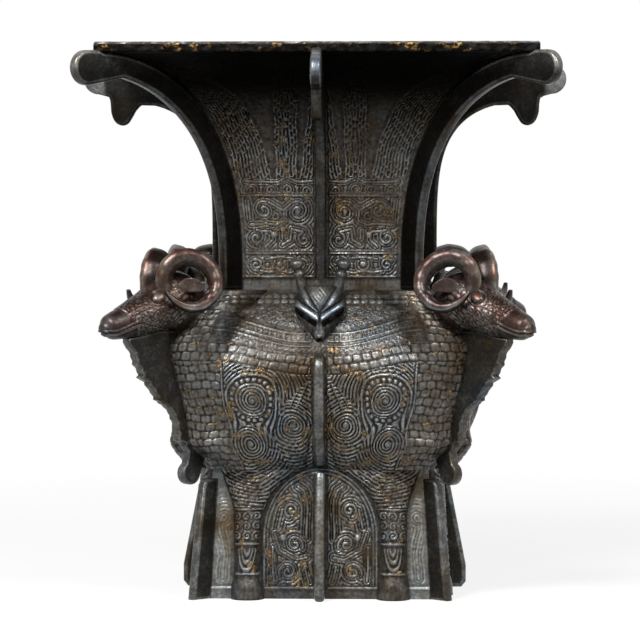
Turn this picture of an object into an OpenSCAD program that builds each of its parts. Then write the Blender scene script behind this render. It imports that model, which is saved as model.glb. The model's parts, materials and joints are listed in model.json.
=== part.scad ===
// Square bronze wine vessel with four rams.
// Units are millimetres. The standing face lies in the plane z = 0, the axis is Z,
// the front face looks along -Y and the four rams stand at the corners.

/* [Overall] */
// Height from the standing face to the mouth
total_h = 583; // [540:1:640]
// Wall thickness of the castings
wall = 4; // [3:0.5:6]
// Clearance of plugged and seated pieces
fit_gap = 0.15; // [0.05:0.05:0.3]

/* [Neck and mouth] */
// Width of the square mouth
mouth_w = 456; // [410:1:500]
// Height of the rim's edge
rim_t = 11; // [9:0.5:16]
// Width of the neck at its lower edge
neck_w = 180; // [176:1:190]
// Sharpness of the flare, higher values keep the neck straight for longer
flare = 1.3; // [1:0.05:1.6]
// Width of the plain collar below the neck
collar_w = 174; // [168:1:176]
// Height of the plain collar
collar_h = 12; // [8:1:16]
// Depth of the neck's spigot in the shoulder
spigot_h = 12; // [8:1:13]

/* [Body] */
// Height of the body between the foot and the collar
body_h = 188; // [178:1:200]
// Width of the shoulder at its upper edge
shoulder_w = 208; // [200:1:216]
// How far the belly swells beyond the foot and shoulder
belly_out = 46; // [38:1:52]
// How far each ram's flank stands out from the middle of the face
flank_out = 13; // [8:1:18]
// Depth to which the belly's own corners are rounded off behind the chests
corner_cut = 26; // [20:1:34]

/* [Rams] */
// Half length of a chest's oval plan
chest_a = 45; // [40:1:50]
// Half width of a chest's oval plan
chest_b = 42; // [37:1:46]
// Forward lean of the chest under the head
chest_lean = 24; // [18:1:30]
// Depth of the flat seat behind the tip of the chest
seat_cut = 15; // [12:1:18]
// Upward tilt of the seat in degrees
seat_tilt = 40; // [34:1:46]
// Radius of the head's tenon
tenon_r = 9; // [7:0.5:11]
// Length of the head's tenon
tenon_l = 14; // [10:1:18]
// Size of a head compared with its drawn size
head_size = 1; // [0.95:0.01:1.03]
// Radius of the horn's curl, along its centre line
curl_r = 21; // [19:0.5:22]
// Radius of the horn at its root
horn_r = 10.6; // [9.5:0.1:11]
// Angle between a horn's plane and its head
horn_splay = 30; // [24:1:36]
// Radius of the horn's plug
plug_r = 7; // [6:0.5:8]
// Length of the horn's plug
plug_l = 12; // [8:1:14]

/* [Foot] */
// Height of the foot
foot_h = 138; // [130:1:146]
// Width of the foot at its base
foot_w = 244; // [236:1:252]
// Width of the foot at its top
foot_top_w = 228; // [222:1:234]
// Distance of a leg from the middle of its face
leg_x = 77; // [72:1:82]
// Width of a leg
leg_w = 29; // [25:1:33]
// How far a leg stands out from the foot
leg_out = 15; // [12:1:18]
// Width added to a leg's inner side at its thigh
thigh_in = 34; // [26:1:40]
// Width added to a leg's outer side at its thigh
thigh_out = 15; // [8:1:18]
// Width added to a leg at its hoof
hoof_w = 6; // [3:1:9]
// Thickness of the bowl's floor
floor_t = 5; // [4:0.5:8]

/* [Flanges] */
// Thickness of the flanges
flange_t = 11; // [8:0.5:12]
// Height of the flanges at the middle of the neck's sides
neck_side_out = 32; // [26:1:36]
// Height of the flanges at the neck's corners
neck_corner_out = 22; // [18:1:28]
// Reach of the side flanges' tongues beyond the rim
tongue_out = 34; // [28:1:40]
// Reach of the corner flanges' tongues beyond the rim
corner_tongue = 28; // [24:1:36]
// Drop of the hanging tooth below the rim
tooth_drop = 70; // [62:1:76]
// Height of the flanges on the belly
belly_flange_out = 17; // [12:1:22]
// Height of the flanges on the chests
chest_flange_out = 38; // [30:1:44]
// Height of the foot's side flanges at the base
foot_side_out = 32; // [26:1:38]
// Height of the foot's corner flanges at the base
foot_corner_out = 20; // [15:1:25]

/* [Beast heads] */
// Half width of a beast head at the brow
beast_w = 27; // [23:1:30]
// Height of a beast head above the shoulder
beast_out = 20; // [16:1:24]
// Radius of the knobs on the beast's horns
knob_r = 7; // [6:0.5:8]
// Radius of the rivet that holds a beast head
rivet_r = 5; // [4:0.5:6]

/* [Hidden] */
$fn = 48;
shoulder_z = foot_h + body_h;
neck_z = shoulder_z + collar_h;
flare_z = total_h - rim_t;
neck_hw = neck_w / 2;
mouth_hw = mouth_w / 2;
flare_run = mouth_hw - neck_hw;
flare_rise = flare_z - neck_z;
collar_hw = collar_w / 2;
opening_hw = collar_hw - 7;
half_t = flange_t / 2;
root2 = sqrt(2);
big = 400;

function clamp01(x) = max(0, min(1, x));
function smooth(a, b, x) = let (u = clamp01((x - a) / (b - a))) u * u * (3 - 2 * u);
function mix(a, b, u) = a + (b - a) * u;
function smax(a, b, k) = let (u = max(k - abs(a - b), 0) / k) max(a, b) + u * u * k / 4;
function join(rows) = [for (row = rows) for (p = row) p];
function arc(c, r, a0, a1, n = 8) =
    [for (i = [0:n]) let (a = a0 + (a1 - a0) * i / n) [c[0] + r * cos(a), c[1] + r * sin(a)]];

// Neck wall: a quarter wave from the straight neck out to the level rim.
flare_steps = 18;
flare_angles = [for (i = [0:flare_steps]) 90 * i / flare_steps];
function neck_pt(a) =
    [neck_hw + flare_run * (1 - cos(a)), neck_z + flare_rise * pow(sin(a), 1 / flare)];
function neck_dir(a) =
    a < 0.01 ? [0, 1] : [flare_run * sin(a), flare_rise / flare * pow(sin(a), 1 / flare - 1) * cos(a)];
// Point at a height above the wall, with run = 1 on a face and root2 along a corner.
function neck_off(a, out, run = 1) =
    let (p = neck_pt(a), d = neck_dir(a), v = [run * d[0], d[1]])
    [run * p[0] + out * v[1] / norm(v), p[1] - out * v[0] / norm(v)];
function neck_wall_t(a) = mix(wall, rim_t, pow(a / 90, 5));
neck_outer = [for (a = flare_angles) neck_pt(a)];
neck_inner = [for (a = flare_angles) neck_off(a, -neck_wall_t(a))];

// Body: distance of the surface from the axis plane of its face.
// t runs from 0 at the middle of a face to 1 at the corner.
function body_s(z) = (z - foot_h) / body_h;
function body_z(s) = foot_h + body_h * s;
function face_hw(z) =
    let (s = body_s(z))
    mix(foot_top_w, shoulder_w, s) / 2 + belly_out * pow(max(0, sin(180 * clamp01(s))), 0.75);
seat_t = 0.08;
function flank(t, s) = flank_out * max(0, sin(180 * clamp01((t - seat_t) / (1 - seat_t)))) * max(0, sin(180 * s));
function rounding(t, s) = corner_cut * smooth(0.55, 1, t) * smooth(0, 0.3, s) * (1 - smooth(0.8, 1, s));
// A leg widens upwards into the thigh, from its shank to the top of the foot.
function thigh_share(z) = pow(clamp01((z / foot_h - 0.64) / 0.36), 1.3);
function leg_from(z) = leg_x - leg_w / 2 - thigh_in * thigh_share(z);
function leg_to(z) = leg_x + leg_w / 2 + thigh_out * thigh_share(z);
function thigh(t, z) =
    let (s = body_s(z), a = leg_from(foot_h) - 30 * s, b = leg_to(foot_h) + 30 * s,
         d = (face_hw(z) * t - (a + b) / 2) / ((b - a) / 2))
    abs(d) < 1 ? leg_out * (1 - smooth(0, 0.34, s)) * sqrt(1 - d * d) : 0;
function chest_tip(z) =
    let (s = body_s(z), foot_r = foot_top_w / root2)
    foot_r + 40 * smooth(-0.04, 0.17, s) + chest_lean * smooth(0.17, 0.73, s) - 45 * smooth(0.78, 1.1, s);
// The chest's oval plan, cut by the line from the axis through t.
function chest_hw(t, z) =
    let (p = (1 + t) / root2, m = (1 - t) / root2, c = chest_tip(z) - chest_a,
         q = p * p / (chest_a * chest_a) + m * m / (chest_b * chest_b),
         l = p * c / (chest_a * chest_a),
         d = l * l - q * (c * c / (chest_a * chest_a) - 1))
    d > 0 ? (l + sqrt(d)) / q : 0;
seat_z = body_z(0.888);
seat_r = chest_tip(seat_z) - seat_cut;
function seat_line(z) = seat_r - (z - seat_z) * tan(seat_tilt);
function skin(t, z) =
    let (s = body_s(z), h = face_hw(z) + flank(t, s) - rounding(t, s))
    min(smax(h, chest_hw(t, z), 10 * smooth(0, 0.1, t - seat_t)), root2 * seat_line(z) / (1 + t));
function body_out(t, z) = t <= seat_t ? face_hw(z) : skin(t, z) + thigh(t, z);
lip_s = 0.93;
// The wall stands on the foot with a solid sill, which closes the overhang of the chest.
sill_s = 0.025;
function body_in(t, z) =
    let (s = body_s(z))
    s >= lip_s ? opening_hw
    : s <= sill_s + 0.001 ? foot_top_w / 2 - wall
    : (t <= seat_t ? face_hw(z) : skin(t, z)) - wall;

t_half = [0, seat_t, 0.2, 0.31, 0.41, 0.49, 0.55, 0.6, 0.65, 0.71, 0.78, 0.86, 0.93, 1];
t_last = len(t_half) - 1;
s_rows = [0, sill_s, 0.06, 0.11, 0.17, 0.24, 0.32, 0.4, 0.48, 0.56, 0.64, 0.71, 0.77, 0.82, 0.865,
          0.9, 0.925, lip_s, 0.965, 1];
z_rows = [for (s = s_rows) body_z(s)];
face_table = [for (z = z_rows) [z, face_hw(z)]];
corner_table = [for (z = z_rows) [z, root2 * body_out(1, z)]];
// One row of a quarter, from the middle of its first face round the corner to its second.
function quarter_row(z, inner = false) = join([
    [for (t = t_half) let (h = inner ? body_in(t, z) : body_out(t, z)) [h, -h * t, z]],
    [for (i = [t_last - 1:-1:0])
        let (t = t_half[i], h = inner ? body_in(t, z) : body_out(t, z)) [h * t, -h, z]]]);

// Solid through a list of rings that have the same number of points.
module loft(rings) {
    n = len(rings[0]);
    m = len(rings);
    sides = [for (j = [0:m - 2]) for (i = [0:n - 1])
        let (a = j * n + i, b = j * n + (i + 1) % n)
        each [[a, a + n, b], [b, a + n, b + n]]];
    caps = [[for (i = [0:n - 1]) i], [for (i = [n - 1:-1:0]) (m - 1) * n + i]];
    polyhedron(points = join(rings), faces = concat(sides, caps), convexity = 8);
}

// Closed strip: an outer and an inner grid of the same size, joined round their edges.
module shell(outer, inner) {
    rows = len(outer);
    cols = len(outer[0]);
    count = rows * cols;
    grid = [for (j = [0:rows - 2]) for (i = [0:cols - 2]) let (a = j * cols + i, b = a + cols)
        each [[a, a + 1, b], [a + 1, b + 1, b],
              [count + a, count + b, count + a + 1], [count + a + 1, count + b, count + b + 1]]];
    ends = [for (j = [0:rows - 2]) let (a = j * cols, b = a + cols - 1)
        each [[a, a + cols, count + a], [a + cols, count + a + cols, count + a],
              [b, count + b, b + cols], [b + cols, count + b, count + b + cols]]];
    top = (rows - 1) * cols;
    edges = [for (i = [0:cols - 2])
        each [[i, count + i, i + 1], [i + 1, count + i, count + i + 1],
              [top + i, top + i + 1, count + top + i],
              [top + i + 1, count + top + i + 1, count + top + i]]];
    polyhedron(points = concat(join(outer), join(inner)), faces = concat(grid, ends, edges), convexity = 8);
}

// Upright plate of flange thickness, drawn with x outwards and y up.
module plate(outline) {
    rotate([90, 0, 0])
        linear_extrude(flange_t, center = true)
            polygon(outline);
}

// Four places: sides at the front, right, back and left, corners between them.
side_angle = [-90, 0, 90, 180];
corner_angle = [-45, 45, 135, 225];
module side(k) {
    rotate([0, 0, side_angle[k]]) children();
}
module corner(k) {
    rotate([0, 0, corner_angle[k]]) children();
}

// Wedge between two corners, so that four profiles meet in mitres.
module mitre() {
    linear_extrude(2 * total_h, center = true)
        polygon([[0, 0], [big, -big], [big, big]]);
}
module mitred(outline) {
    intersection() {
        rotate([90, 0, 0])
            linear_extrude(2 * big, center = true)
                polygon(outline);
        mitre();
    }
}
// Square core below a profile, which cuts the seat of a corner flange.
module square_core(outline) {
    intersection_for (a = [-45, 45])
        rotate([0, 0, a])
            rotate([90, 0, 0])
                linear_extrude(2 * big, center = true)
                    polygon(concat([[-big, outline[0][1]]], outline, [[-big, outline[len(outline) - 1][1]]]));
}

// Neck panels
module neck_panel(k) {
    spigot_hw = opening_hw - fit_gap;
    spigot_in = spigot_hw - wall;
    color("#4a4038") side(k) mitred(concat(
        [[spigot_in, shoulder_z - spigot_h], [spigot_hw, shoulder_z - spigot_h], [spigot_hw, shoulder_z],
         [collar_hw, shoulder_z], [collar_hw, neck_z]],
        neck_outer,
        [for (i = [flare_steps:-1:0]) neck_inner[i]],
        [[spigot_in, shoulder_z]]));
}

// Flange up the middle of a neck panel, with a tongue past the rim and a hanging tooth.
module neck_side_flange(k) {
    tip_r = rim_t + 3;
    tip_z = flare_z - 9;
    tooth_z = flare_z - tooth_drop;
    tooth_l = mouth_hw - 22;
    tooth_r = mouth_hw + 5;
    edge_r = neck_hw + neck_side_out;
    edge_z = flare_z - 46;
    color("#4a4038") side(k) plate(concat(
        [for (a = [0:6:84])
            [edge_r + (tooth_l - edge_r) * (1 - cos(a)), neck_z + (edge_z - neck_z) * pow(sin(a), 1 / 2.5)]],
        arc([tooth_l + 6, tooth_z + 6], 6, 180, 270, 4),
        arc([tooth_r - 6, tooth_z + 6], 6, 270, 360, 4),
        [[tooth_r + 2, tip_z - tip_r - 9]],
        arc([mouth_hw + tongue_out - tip_r, tip_z], tip_r, -90, 90, 10),
        [[mouth_hw, tip_z + tip_r], [mouth_hw, flare_z]],
        [for (i = [flare_steps - 1:-1:0]) neck_outer[i]]));
}

// Flange on a neck corner, with a rounded tongue past the rim.
module neck_corner_flange(k) {
    tip_r = 18;
    tip_x = root2 * mouth_hw + corner_tongue - tip_r;
    tip_z = flare_z - 16;
    color("#4a4038") corner(k) difference() {
        plate(concat(
            [[root2 * neck_hw - flange_t, neck_z]],
            [for (a = [0:6:78]) neck_off(a, neck_corner_out, root2)],
            arc([tip_x, tip_z], tip_r, -90, 90, 10),
            [[root2 * mouth_hw - flange_t, tip_z + tip_r]],
            [for (i = [flare_steps:-1:1]) [root2 * neck_outer[i][0] - flange_t, neck_outer[i][1] + 4]]));
        square_core(concat([[neck_hw, neck_z - 1]], neck_outer, [[mouth_hw, total_h + 1]]));
    }
}

// Quarter of the body: a ram's chest and two flanks, with the shoulder above.
module ram_body(k) {
    color("#453b33") rotate([0, 0, 90 * k]) difference() {
        union() {
            shell([for (z = z_rows) quarter_row(z)], [for (z = z_rows) quarter_row(z, true)]);
            leg(-1);
            rotate([0, 0, -90]) leg(1);
        }
        rotate([0, 0, -45]) tenon(tenon_r + fit_gap, tenon_l + 6);
        rivet_shaft(rivet_r + fit_gap);
        rotate([0, 0, -90]) rivet_shaft(rivet_r + fit_gap);
    }
}
// Leg of half-round section, flat at the back where it lies against the foot.
function hoof(z) = hoof_w / 2 * (1 - smooth(0.08, 0.2, z / foot_h));
function leg_ring(z, side) =
    let (a = (leg_to(z) - leg_from(z)) / 2 + hoof(z), b = leg_out + hoof(z) - (z > foot_h ? 1 : 0),
         y = side * (leg_to(z) + leg_from(z)) / 2, back = foot_hw(min(z, foot_h)))
    [for (i = [0:12]) let (w = -90 + 15 * i) [back + b * cos(w), y + a * sin(w), z]];
leg_rows = [for (u = [0, 0.05, 0.13, 0.22, 0.4, 0.64, 0.7, 0.76, 0.82, 0.88, 0.94, 1, 1.025]) u * foot_h];
module leg(side) {
    loft([for (z = leg_rows) leg_ring(z, side)]);
}
module tenon(r, l) {
    translate([seat_r, 0, seat_z])
        rotate([0, 90 - seat_tilt, 0])
            translate([0, 0, -l]) cylinder(r = r, h = l + 6);
}

// Floor of the bowl, held in a rebate at the top of the foot.
module vessel_floor() {
    hw = foot_top_w / 2 - rebate - fit_gap;
    color("#453b33")
        translate([-hw, -hw, foot_h - floor_t])
            cube([2 * hw, 2 * hw, floor_t]);
}
rebate = wall / 2;

// Foot panel
function foot_hw(z) = mix(foot_w, foot_top_w, z / foot_h) / 2;
module foot_panel(k) {
    top = foot_top_w / 2;
    base = foot_w / 2;
    color("#453b33") side(k)
        mitred([[base - wall, 0], [base, 0], [top, foot_h], [top - rebate, foot_h],
                [top - rebate, foot_h - floor_t], [top - wall, foot_h - floor_t]]);
}

// Flange down the middle of the belly, stepped in below.
module belly_flange(k) {
    z0 = body_z(0.02);
    z1 = body_z(0.19);
    z2 = body_z(0.655);
    inner = [for (z = concat([z2], [for (i = [len(z_rows) - 1:-1:0]) z_rows[i]], [z0]))
        if (z <= z2 && z >= z0) [lookup(z, face_table), z]];
    edge = [for (i = [0:12]) let (z = mix(z1, z2 - 8, i / 12))
        [lookup(z, face_table) + belly_flange_out, z]];
    color("#4a4038") side(k) plate(concat(
        [[lookup(z0, face_table) + belly_flange_out / 2, z0],
         [lookup(z1, face_table) + belly_flange_out / 2 - 2, z1]],
        edge,
        [[lookup(z2, face_table) + belly_flange_out - 6, z2]],
        inner));
}

// Flange on the foot, below the belly's flange.
module foot_side_flange(k) {
    color("#4a4038") side(k) plate([
        [foot_w / 2, 0],
        [foot_w / 2 + foot_side_out - 5, 0],
        [foot_w / 2 + foot_side_out, 6],
        [foot_w / 2 + foot_side_out, 24],
        [foot_hw(foot_h - 4) + foot_side_out * 0.62, foot_h - 12],
        [foot_hw(foot_h - 4) + foot_side_out * 0.5, foot_h - 4],
        [foot_hw(foot_h - 4), foot_h - 4]]);
}

// Flange on a foot corner
module foot_corner_flange(k) {
    z1 = foot_h * 0.92;
    color("#4a4038") corner(k) difference() {
        plate([
            [foot_w / root2 - flange_t, 0],
            [foot_w / root2 + foot_corner_out, 0],
            [root2 * foot_hw(z1) + foot_corner_out * 0.8, z1 - 6],
            [root2 * foot_hw(z1) + foot_corner_out * 0.55, z1],
            [root2 * foot_hw(z1) - flange_t, z1]]);
        square_core([[foot_hw(-1), -1], [foot_hw(foot_h), foot_h]]);
    }
}

// Flange on a chest, from the beard under the chin to a curled lug at the foot.
module chest_flange(k) {
    z_lug = body_z(-0.02);
    lug_r = 13;
    z_top = body_z(0.73);
    out = chest_flange_out;
    function edge_r(z) = lookup(z, corner_table);
    lug_x = edge_r(body_z(0)) + 30;
    color("#4a4038") corner(k) difference() {
        plate(concat(
            [[edge_r(body_z(0.06)) - flange_t, body_z(0.06)]],
            arc([lug_x, z_lug], lug_r, 200, 380, 10),
            [[edge_r(body_z(0.17)) + 14, body_z(0.17)],
             [edge_r(body_z(0.29)) + 14, body_z(0.29)],
             [edge_r(body_z(0.4)) + out * 0.8, body_z(0.4)],
             [edge_r(body_z(0.44)) + out * 0.8, body_z(0.44)],
             [edge_r(body_z(0.55)) + out * 1.2, body_z(0.55)],
             [edge_r(body_z(0.66)) + out * 1.2, body_z(0.66)],
             [edge_r(body_z(0.69)) + out * 1.4, body_z(0.7)],
             [edge_r(z_top) + out * 1.45, z_top + 2],
             [edge_r(z_top) + out * 0.9, z_top + 5],
             [edge_r(z_top) + out * 0.3, z_top + 8],
             [edge_r(z_top) - flange_t, z_top]],
            [for (i = [len(z_rows) - 1:-1:0]) let (z = z_rows[i])
                if (z < z_top && z > body_z(0.06)) [edge_r(z) - flange_t, z]]));
        chest_core();
    }
}
// Strip of the body along the corner, which cuts the seat of the chest flange.
module chest_core() {
    rotate([0, 0, 45])
        loft([for (z = z_rows) if (body_s(z) < 0.85)
            let (t = t_half[t_last - 2], h = body_out(t, z), c = body_out(1, z), d = c - 40)
            [[h * t, -h, z], [c, -c, z], [h, -h * t, z], [d, -d, z]]]);
}

// Ram head: sections from the seat over the poll to the nose, with a short core under each horn.
// Each section is [forward of the seat, above it, tilt, half width, half height].
head_sections = [
    [0, 0, 40, 27, 26], [11, 8.5, 28, 29, 29], [24, 12, 6, 29, 29], [38, 6, -11, 27, 25],
    [53, -0.5, -16, 23.5, 22], [70, -6, -18, 19, 19], [85, -10.5, -19, 16, 16.2],
    [97, -13.5, -20, 14.5, 14.2], [105, -15.5, -20, 12.5, 12], [110, -17, -20, 8, 7.5]];
function head_ring(c, n = 20) = [for (i = [0:n - 1]) let (w = 360 * i / n, y = c[3] * cos(w), v = c[4] * sin(w))
    head_size * [c[0] - v * sin(c[2]), y, c[1] + v * cos(c[2])]];
function seat_section() = [0, 0, seat_tilt, head_sections[0][3], head_sections[0][4]];
ear_sections = [[28, 22, 5, 5], [23, 29, 6.5, 6], [18, 36, 5.5, 5], [12, 42, 1.5, 1.2]];
function ear_ring(c, side) = [for (i = [0:7]) let (w = -side * 45 * i)
    head_size * [c[0] + 2.2 * cos(w), side * (c[1] + 2.2 * cos(w)), 25 + c[2] * sin(w)]];
module at_seat() {
    translate([seat_r, 0, seat_z]) children();
}
module ram_head(k) {
    color("#6a4a3a") corner(k) {
        difference() {
            union() {
                at_seat() {
                    loft(concat([head_ring(seat_section())],
                                [for (i = [1:len(head_sections) - 1]) head_ring(head_sections[i])]));
                    for (s = [-1, 1])
                        loft([for (c = ear_sections) ear_ring(c, s)]);
                }
                for (s = [-1, 1])
                    at_horn_root(s)
                        translate([0, 0, -20]) cylinder(r1 = horn_r + 1.5, r2 = horn_r + 0.5, h = 20);
            }
            for (s = [-1, 1])
                horn_socket(s);
        }
        tenon(tenon_r, tenon_l);
    }
}

// Ram horn: a curl round the ear that opens towards the eye.
curl_c = [18.5 * head_size, 22 * head_size, 33 * head_size];
curl_start = 30;
curl_end = 345;
curl_steps = 17;
function curl_rad(b) = curl_r + 20 * clamp01((b - 240) / 105);
function curl_pt(b, s) =
    let (f = curl_rad(b) * cos(b), side = curl_c[1] - sin(horn_splay) * f + 28 * smooth(60, 345, b))
    [seat_r + curl_c[0] + cos(horn_splay) * f, s * side, seat_z + curl_c[2] + curl_rad(b) * sin(b)];
function unit(v) = v / norm(v);
function curl_dir(b, s) = unit(curl_pt(b + 1, s) - curl_pt(b - 1, s));
function curl_thick(u) = horn_r * (1 - 0.3 * u - 0.45 * pow(u, 5));
function curl_ring(u, s, n = 10) =
    let (b = mix(curl_start, curl_end, u), d = curl_dir(b, s), r = curl_thick(u),
         q = unit(cross(d, [0, 1, 0])), v = cross(d, q))
    [for (i = [0:n - 1]) let (w = 360 * i / n) curl_pt(b, s) + r * (cos(w) * q + sin(w) * v)];
module at_horn_root(s) {
    d = curl_dir(curl_start, s);
    translate(curl_pt(curl_start, s))
        rotate([0, acos(d[2]), atan2(d[1], d[0])])
            children();
}
// Stepped hole in the head: a bore for the plug and a round seat for the horn's root.
module horn_socket(s) {
    bore = plug_r + fit_gap;
    face = horn_r + 2.4;
    at_horn_root(s)
        rotate_extrude()
            polygon([[0, -plug_l - 1], [bore, -plug_l - 1], [bore, 0], [face, 0], [face, 16], [0, 16]]);
}
module ram_horn(k, s) {
    color("#6a4a3a") corner(k) {
        loft([for (i = [0:curl_steps]) curl_ring(i / curl_steps, s)]);
        at_horn_root(s)
            translate([0, 0, -plug_l]) cylinder(r = plug_r, h = plug_l + 3);
    }
}

// Beast head on the shoulder: sections from the nape to the chin.
// Each section is [place down the body, rise from the surface, half width, half height] as shares.
beast_sections = [[1.0, 0.2, 0.6, 0.45], [0.965, 0.3, 0.84, 0.85], [0.925, 0.2, 0.95, 1],
                  [0.87, 0.16, 1, 0.95], [0.82, 0.12, 0.7, 0.85], [0.76, 0.1, 0.38, 0.6], [0.715, 0.06, 0.12, 0.3]];
beast_tilt = -48;
function beast_mid(c) = let (z = body_z(c[0])) [face_hw(z) + c[1] * beast_out * 0.74, z + c[1] * beast_out * 0.67];
function beast_ring(c, n = 16) =
    let (m = beast_mid(c))
    [for (i = [0:n - 1]) let (w = 360 * i / n, v = c[3] * beast_out * sin(w))
        [m[0] - v * sin(beast_tilt), c[2] * beast_w * cos(w), m[1] + v * cos(beast_tilt)]];
module beast_head(k) {
    knob = beast_mid([0.98, 0, 0, 0]) + [18, 32];
    stalk = beast_mid([0.965, 0, 0, 0]) + [8, 4];
    color("#5a463a") side(k) {
        difference() {
            loft([for (c = beast_sections) beast_ring(c)]);
            shoulder_core();
            rivet_shaft(rivet_r + fit_gap);
        }
        for (s = [-1, 1]) {
            translate([knob[0], s * (beast_w - 2), knob[1]]) sphere(r = knob_r);
            stalk_between([stalk[0], s * (beast_w - 9), stalk[1]], [knob[0], s * (beast_w - 2), knob[1]], knob_r * 0.6);
        }
    }
}
module stalk_between(a, b, r) {
    d = b - a;
    translate(a)
        rotate([0, acos(d[2] / norm(d)), atan2(d[1], d[0])])
            cylinder(r = r, h = norm(d));
}
// Strip of the body under a beast head, which cuts the head's seat.
module shoulder_core() {
    ts = [for (i = [4:-1:1]) t_half[i]];
    loft([for (z = z_rows) if (body_s(z) > 0.6)
        let (rim = face_hw(z) - 45)
        concat([for (t = ts) [body_out(t, z), -body_out(t, z) * t, z]],
               [for (i = [3:-1:0]) let (t = ts[i]) [body_out(t, z), body_out(t, z) * t, z]],
               [[rim, 30, z], [rim, -30, z]])]);
}
// Rivet through the shoulder into a beast head, with its head inside the bowl.
rivet_s = 0.88;
rivet_tilt = 42;
rivet_grip = wall * cos(rivet_tilt) + 0.8;
module rivet_shaft(r) {
    z = body_z(rivet_s);
    translate([face_hw(z), 0, z])
        rotate([0, 90 - rivet_tilt, 0])
            translate([0, 0, -rivet_grip - 2]) cylinder(r = r, h = rivet_grip + 10);
}
module beast_rivets() {
    z = body_z(rivet_s);
    color("#5a463a") for (k = [0:3]) side(k) {
        rivet_shaft(rivet_r);
        translate([face_hw(z), 0, z])
            rotate([0, 90 - rivet_tilt, 0])
                translate([0, 0, -rivet_grip - 3]) cylinder(r = rivet_r + 4, h = 3);
    }
}

neck_panel(0);  // neck_panel_front
neck_panel(1);  // neck_panel_right
neck_panel(2);  // neck_panel_back
neck_panel(3);  // neck_panel_left
neck_side_flange(0);  // neck_side_flange_front
neck_side_flange(1);  // neck_side_flange_right
neck_side_flange(2);  // neck_side_flange_back
neck_side_flange(3);  // neck_side_flange_left
neck_corner_flange(0);  // neck_corner_flange_front_right
neck_corner_flange(1);  // neck_corner_flange_back_right
neck_corner_flange(2);  // neck_corner_flange_back_left
neck_corner_flange(3);  // neck_corner_flange_front_left
ram_body(0);  // ram_body_front_right
ram_body(1);  // ram_body_back_right
ram_body(2);  // ram_body_back_left
ram_body(3);  // ram_body_front_left
vessel_floor();
beast_rivets();
belly_flange(0);  // belly_flange_front
belly_flange(1);  // belly_flange_right
belly_flange(2);  // belly_flange_back
belly_flange(3);  // belly_flange_left
chest_flange(0);  // chest_flange_front_right
chest_flange(1);  // chest_flange_back_right
chest_flange(2);  // chest_flange_back_left
chest_flange(3);  // chest_flange_front_left
ram_head(0);  // ram_head_front_right
ram_head(1);  // ram_head_back_right
ram_head(2);  // ram_head_back_left
ram_head(3);  // ram_head_front_left
ram_horn(0, 1);  // ram_horn_front_right_l
ram_horn(0, -1);  // ram_horn_front_right_r
ram_horn(1, 1);  // ram_horn_back_right_l
ram_horn(1, -1);  // ram_horn_back_right_r
ram_horn(2, 1);  // ram_horn_back_left_l
ram_horn(2, -1);  // ram_horn_back_left_r
ram_horn(3, 1);  // ram_horn_front_left_l
ram_horn(3, -1);  // ram_horn_front_left_r
beast_head(0);  // beast_head_front
beast_head(1);  // beast_head_right
beast_head(2);  // beast_head_back
beast_head(3);  // beast_head_left
foot_panel(0);  // foot_panel_front
foot_panel(1);  // foot_panel_right
foot_panel(2);  // foot_panel_back
foot_panel(3);  // foot_panel_left
foot_side_flange(0);  // foot_side_flange_front
foot_side_flange(1);  // foot_side_flange_right
foot_side_flange(2);  // foot_side_flange_back
foot_side_flange(3);  // foot_side_flange_left
foot_corner_flange(0);  // foot_corner_flange_front_right
foot_corner_flange(1);  // foot_corner_flange_back_right
foot_corner_flange(2);  // foot_corner_flange_back_left
foot_corner_flange(3);  // foot_corner_flange_front_left
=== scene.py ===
# %% [markdown]
# This lesson dresses a square bronze wine vessel with four rams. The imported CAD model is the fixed
# frame: it gives every piece its place and size, in metres, with the vessel's axis on Z and its
# front towards -Y. Each cell makes one kind of casting, with its relief as real geometry, and lets
# it stand for the plain CAD piece. All working sizes below are millimetres.

# %% Load the frame
import json

import bmesh
import bpy
import numpy as np
from mathutils import Matrix, Vector
from numpy import (array, clip, concatenate, cos, hypot, linspace, maximum, minimum, pi, radians,
                   sin, sqrt, stack, tan, where)


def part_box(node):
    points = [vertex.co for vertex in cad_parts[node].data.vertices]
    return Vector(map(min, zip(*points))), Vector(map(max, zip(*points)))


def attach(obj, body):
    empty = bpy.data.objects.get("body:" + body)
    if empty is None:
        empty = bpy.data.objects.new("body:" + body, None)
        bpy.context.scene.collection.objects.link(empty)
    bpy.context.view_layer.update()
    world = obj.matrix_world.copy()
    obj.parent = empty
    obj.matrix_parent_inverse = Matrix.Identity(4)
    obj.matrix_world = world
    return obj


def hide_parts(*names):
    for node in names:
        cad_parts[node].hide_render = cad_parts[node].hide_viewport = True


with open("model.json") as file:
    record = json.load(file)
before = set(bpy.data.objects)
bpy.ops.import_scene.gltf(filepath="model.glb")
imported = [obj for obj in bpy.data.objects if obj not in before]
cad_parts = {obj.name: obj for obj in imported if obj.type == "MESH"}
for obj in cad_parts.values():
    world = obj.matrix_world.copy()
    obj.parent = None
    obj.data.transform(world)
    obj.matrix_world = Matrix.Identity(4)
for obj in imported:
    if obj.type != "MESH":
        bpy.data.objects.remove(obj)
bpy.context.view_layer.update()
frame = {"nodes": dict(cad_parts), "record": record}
MM = 0.001

# %% [markdown]
# The same four-fold plan repeats all round: four sides and four corners. A casting is modelled
# once, at the front or at the front right corner, and copies of its mesh are turned round Z.
# Turning the mesh rather than the object keeps every object at the origin, so that patina that is
# laid out in object coordinates differs from side to side.

# %% Places and small helpers
SIDES = {"front": 0, "right": 90, "back": 180, "left": 270}
CORNERS = {"front_right": 0, "back_right": 90, "back_left": 180, "front_left": 270}
ALONE = {"": 0}
finish_of = {}


def smooth(a, b, x):
    """Rises softly from 0 at a to 1 at b."""
    u = clip((x - a) / (b - a), 0, 1)
    return u * u * (3 - 2 * u)


def mix(a, b, u):
    return a + (b - a) * u


def turn_z(degrees, size=3):
    return Matrix.Rotation(radians(degrees), size, "Z")


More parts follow.
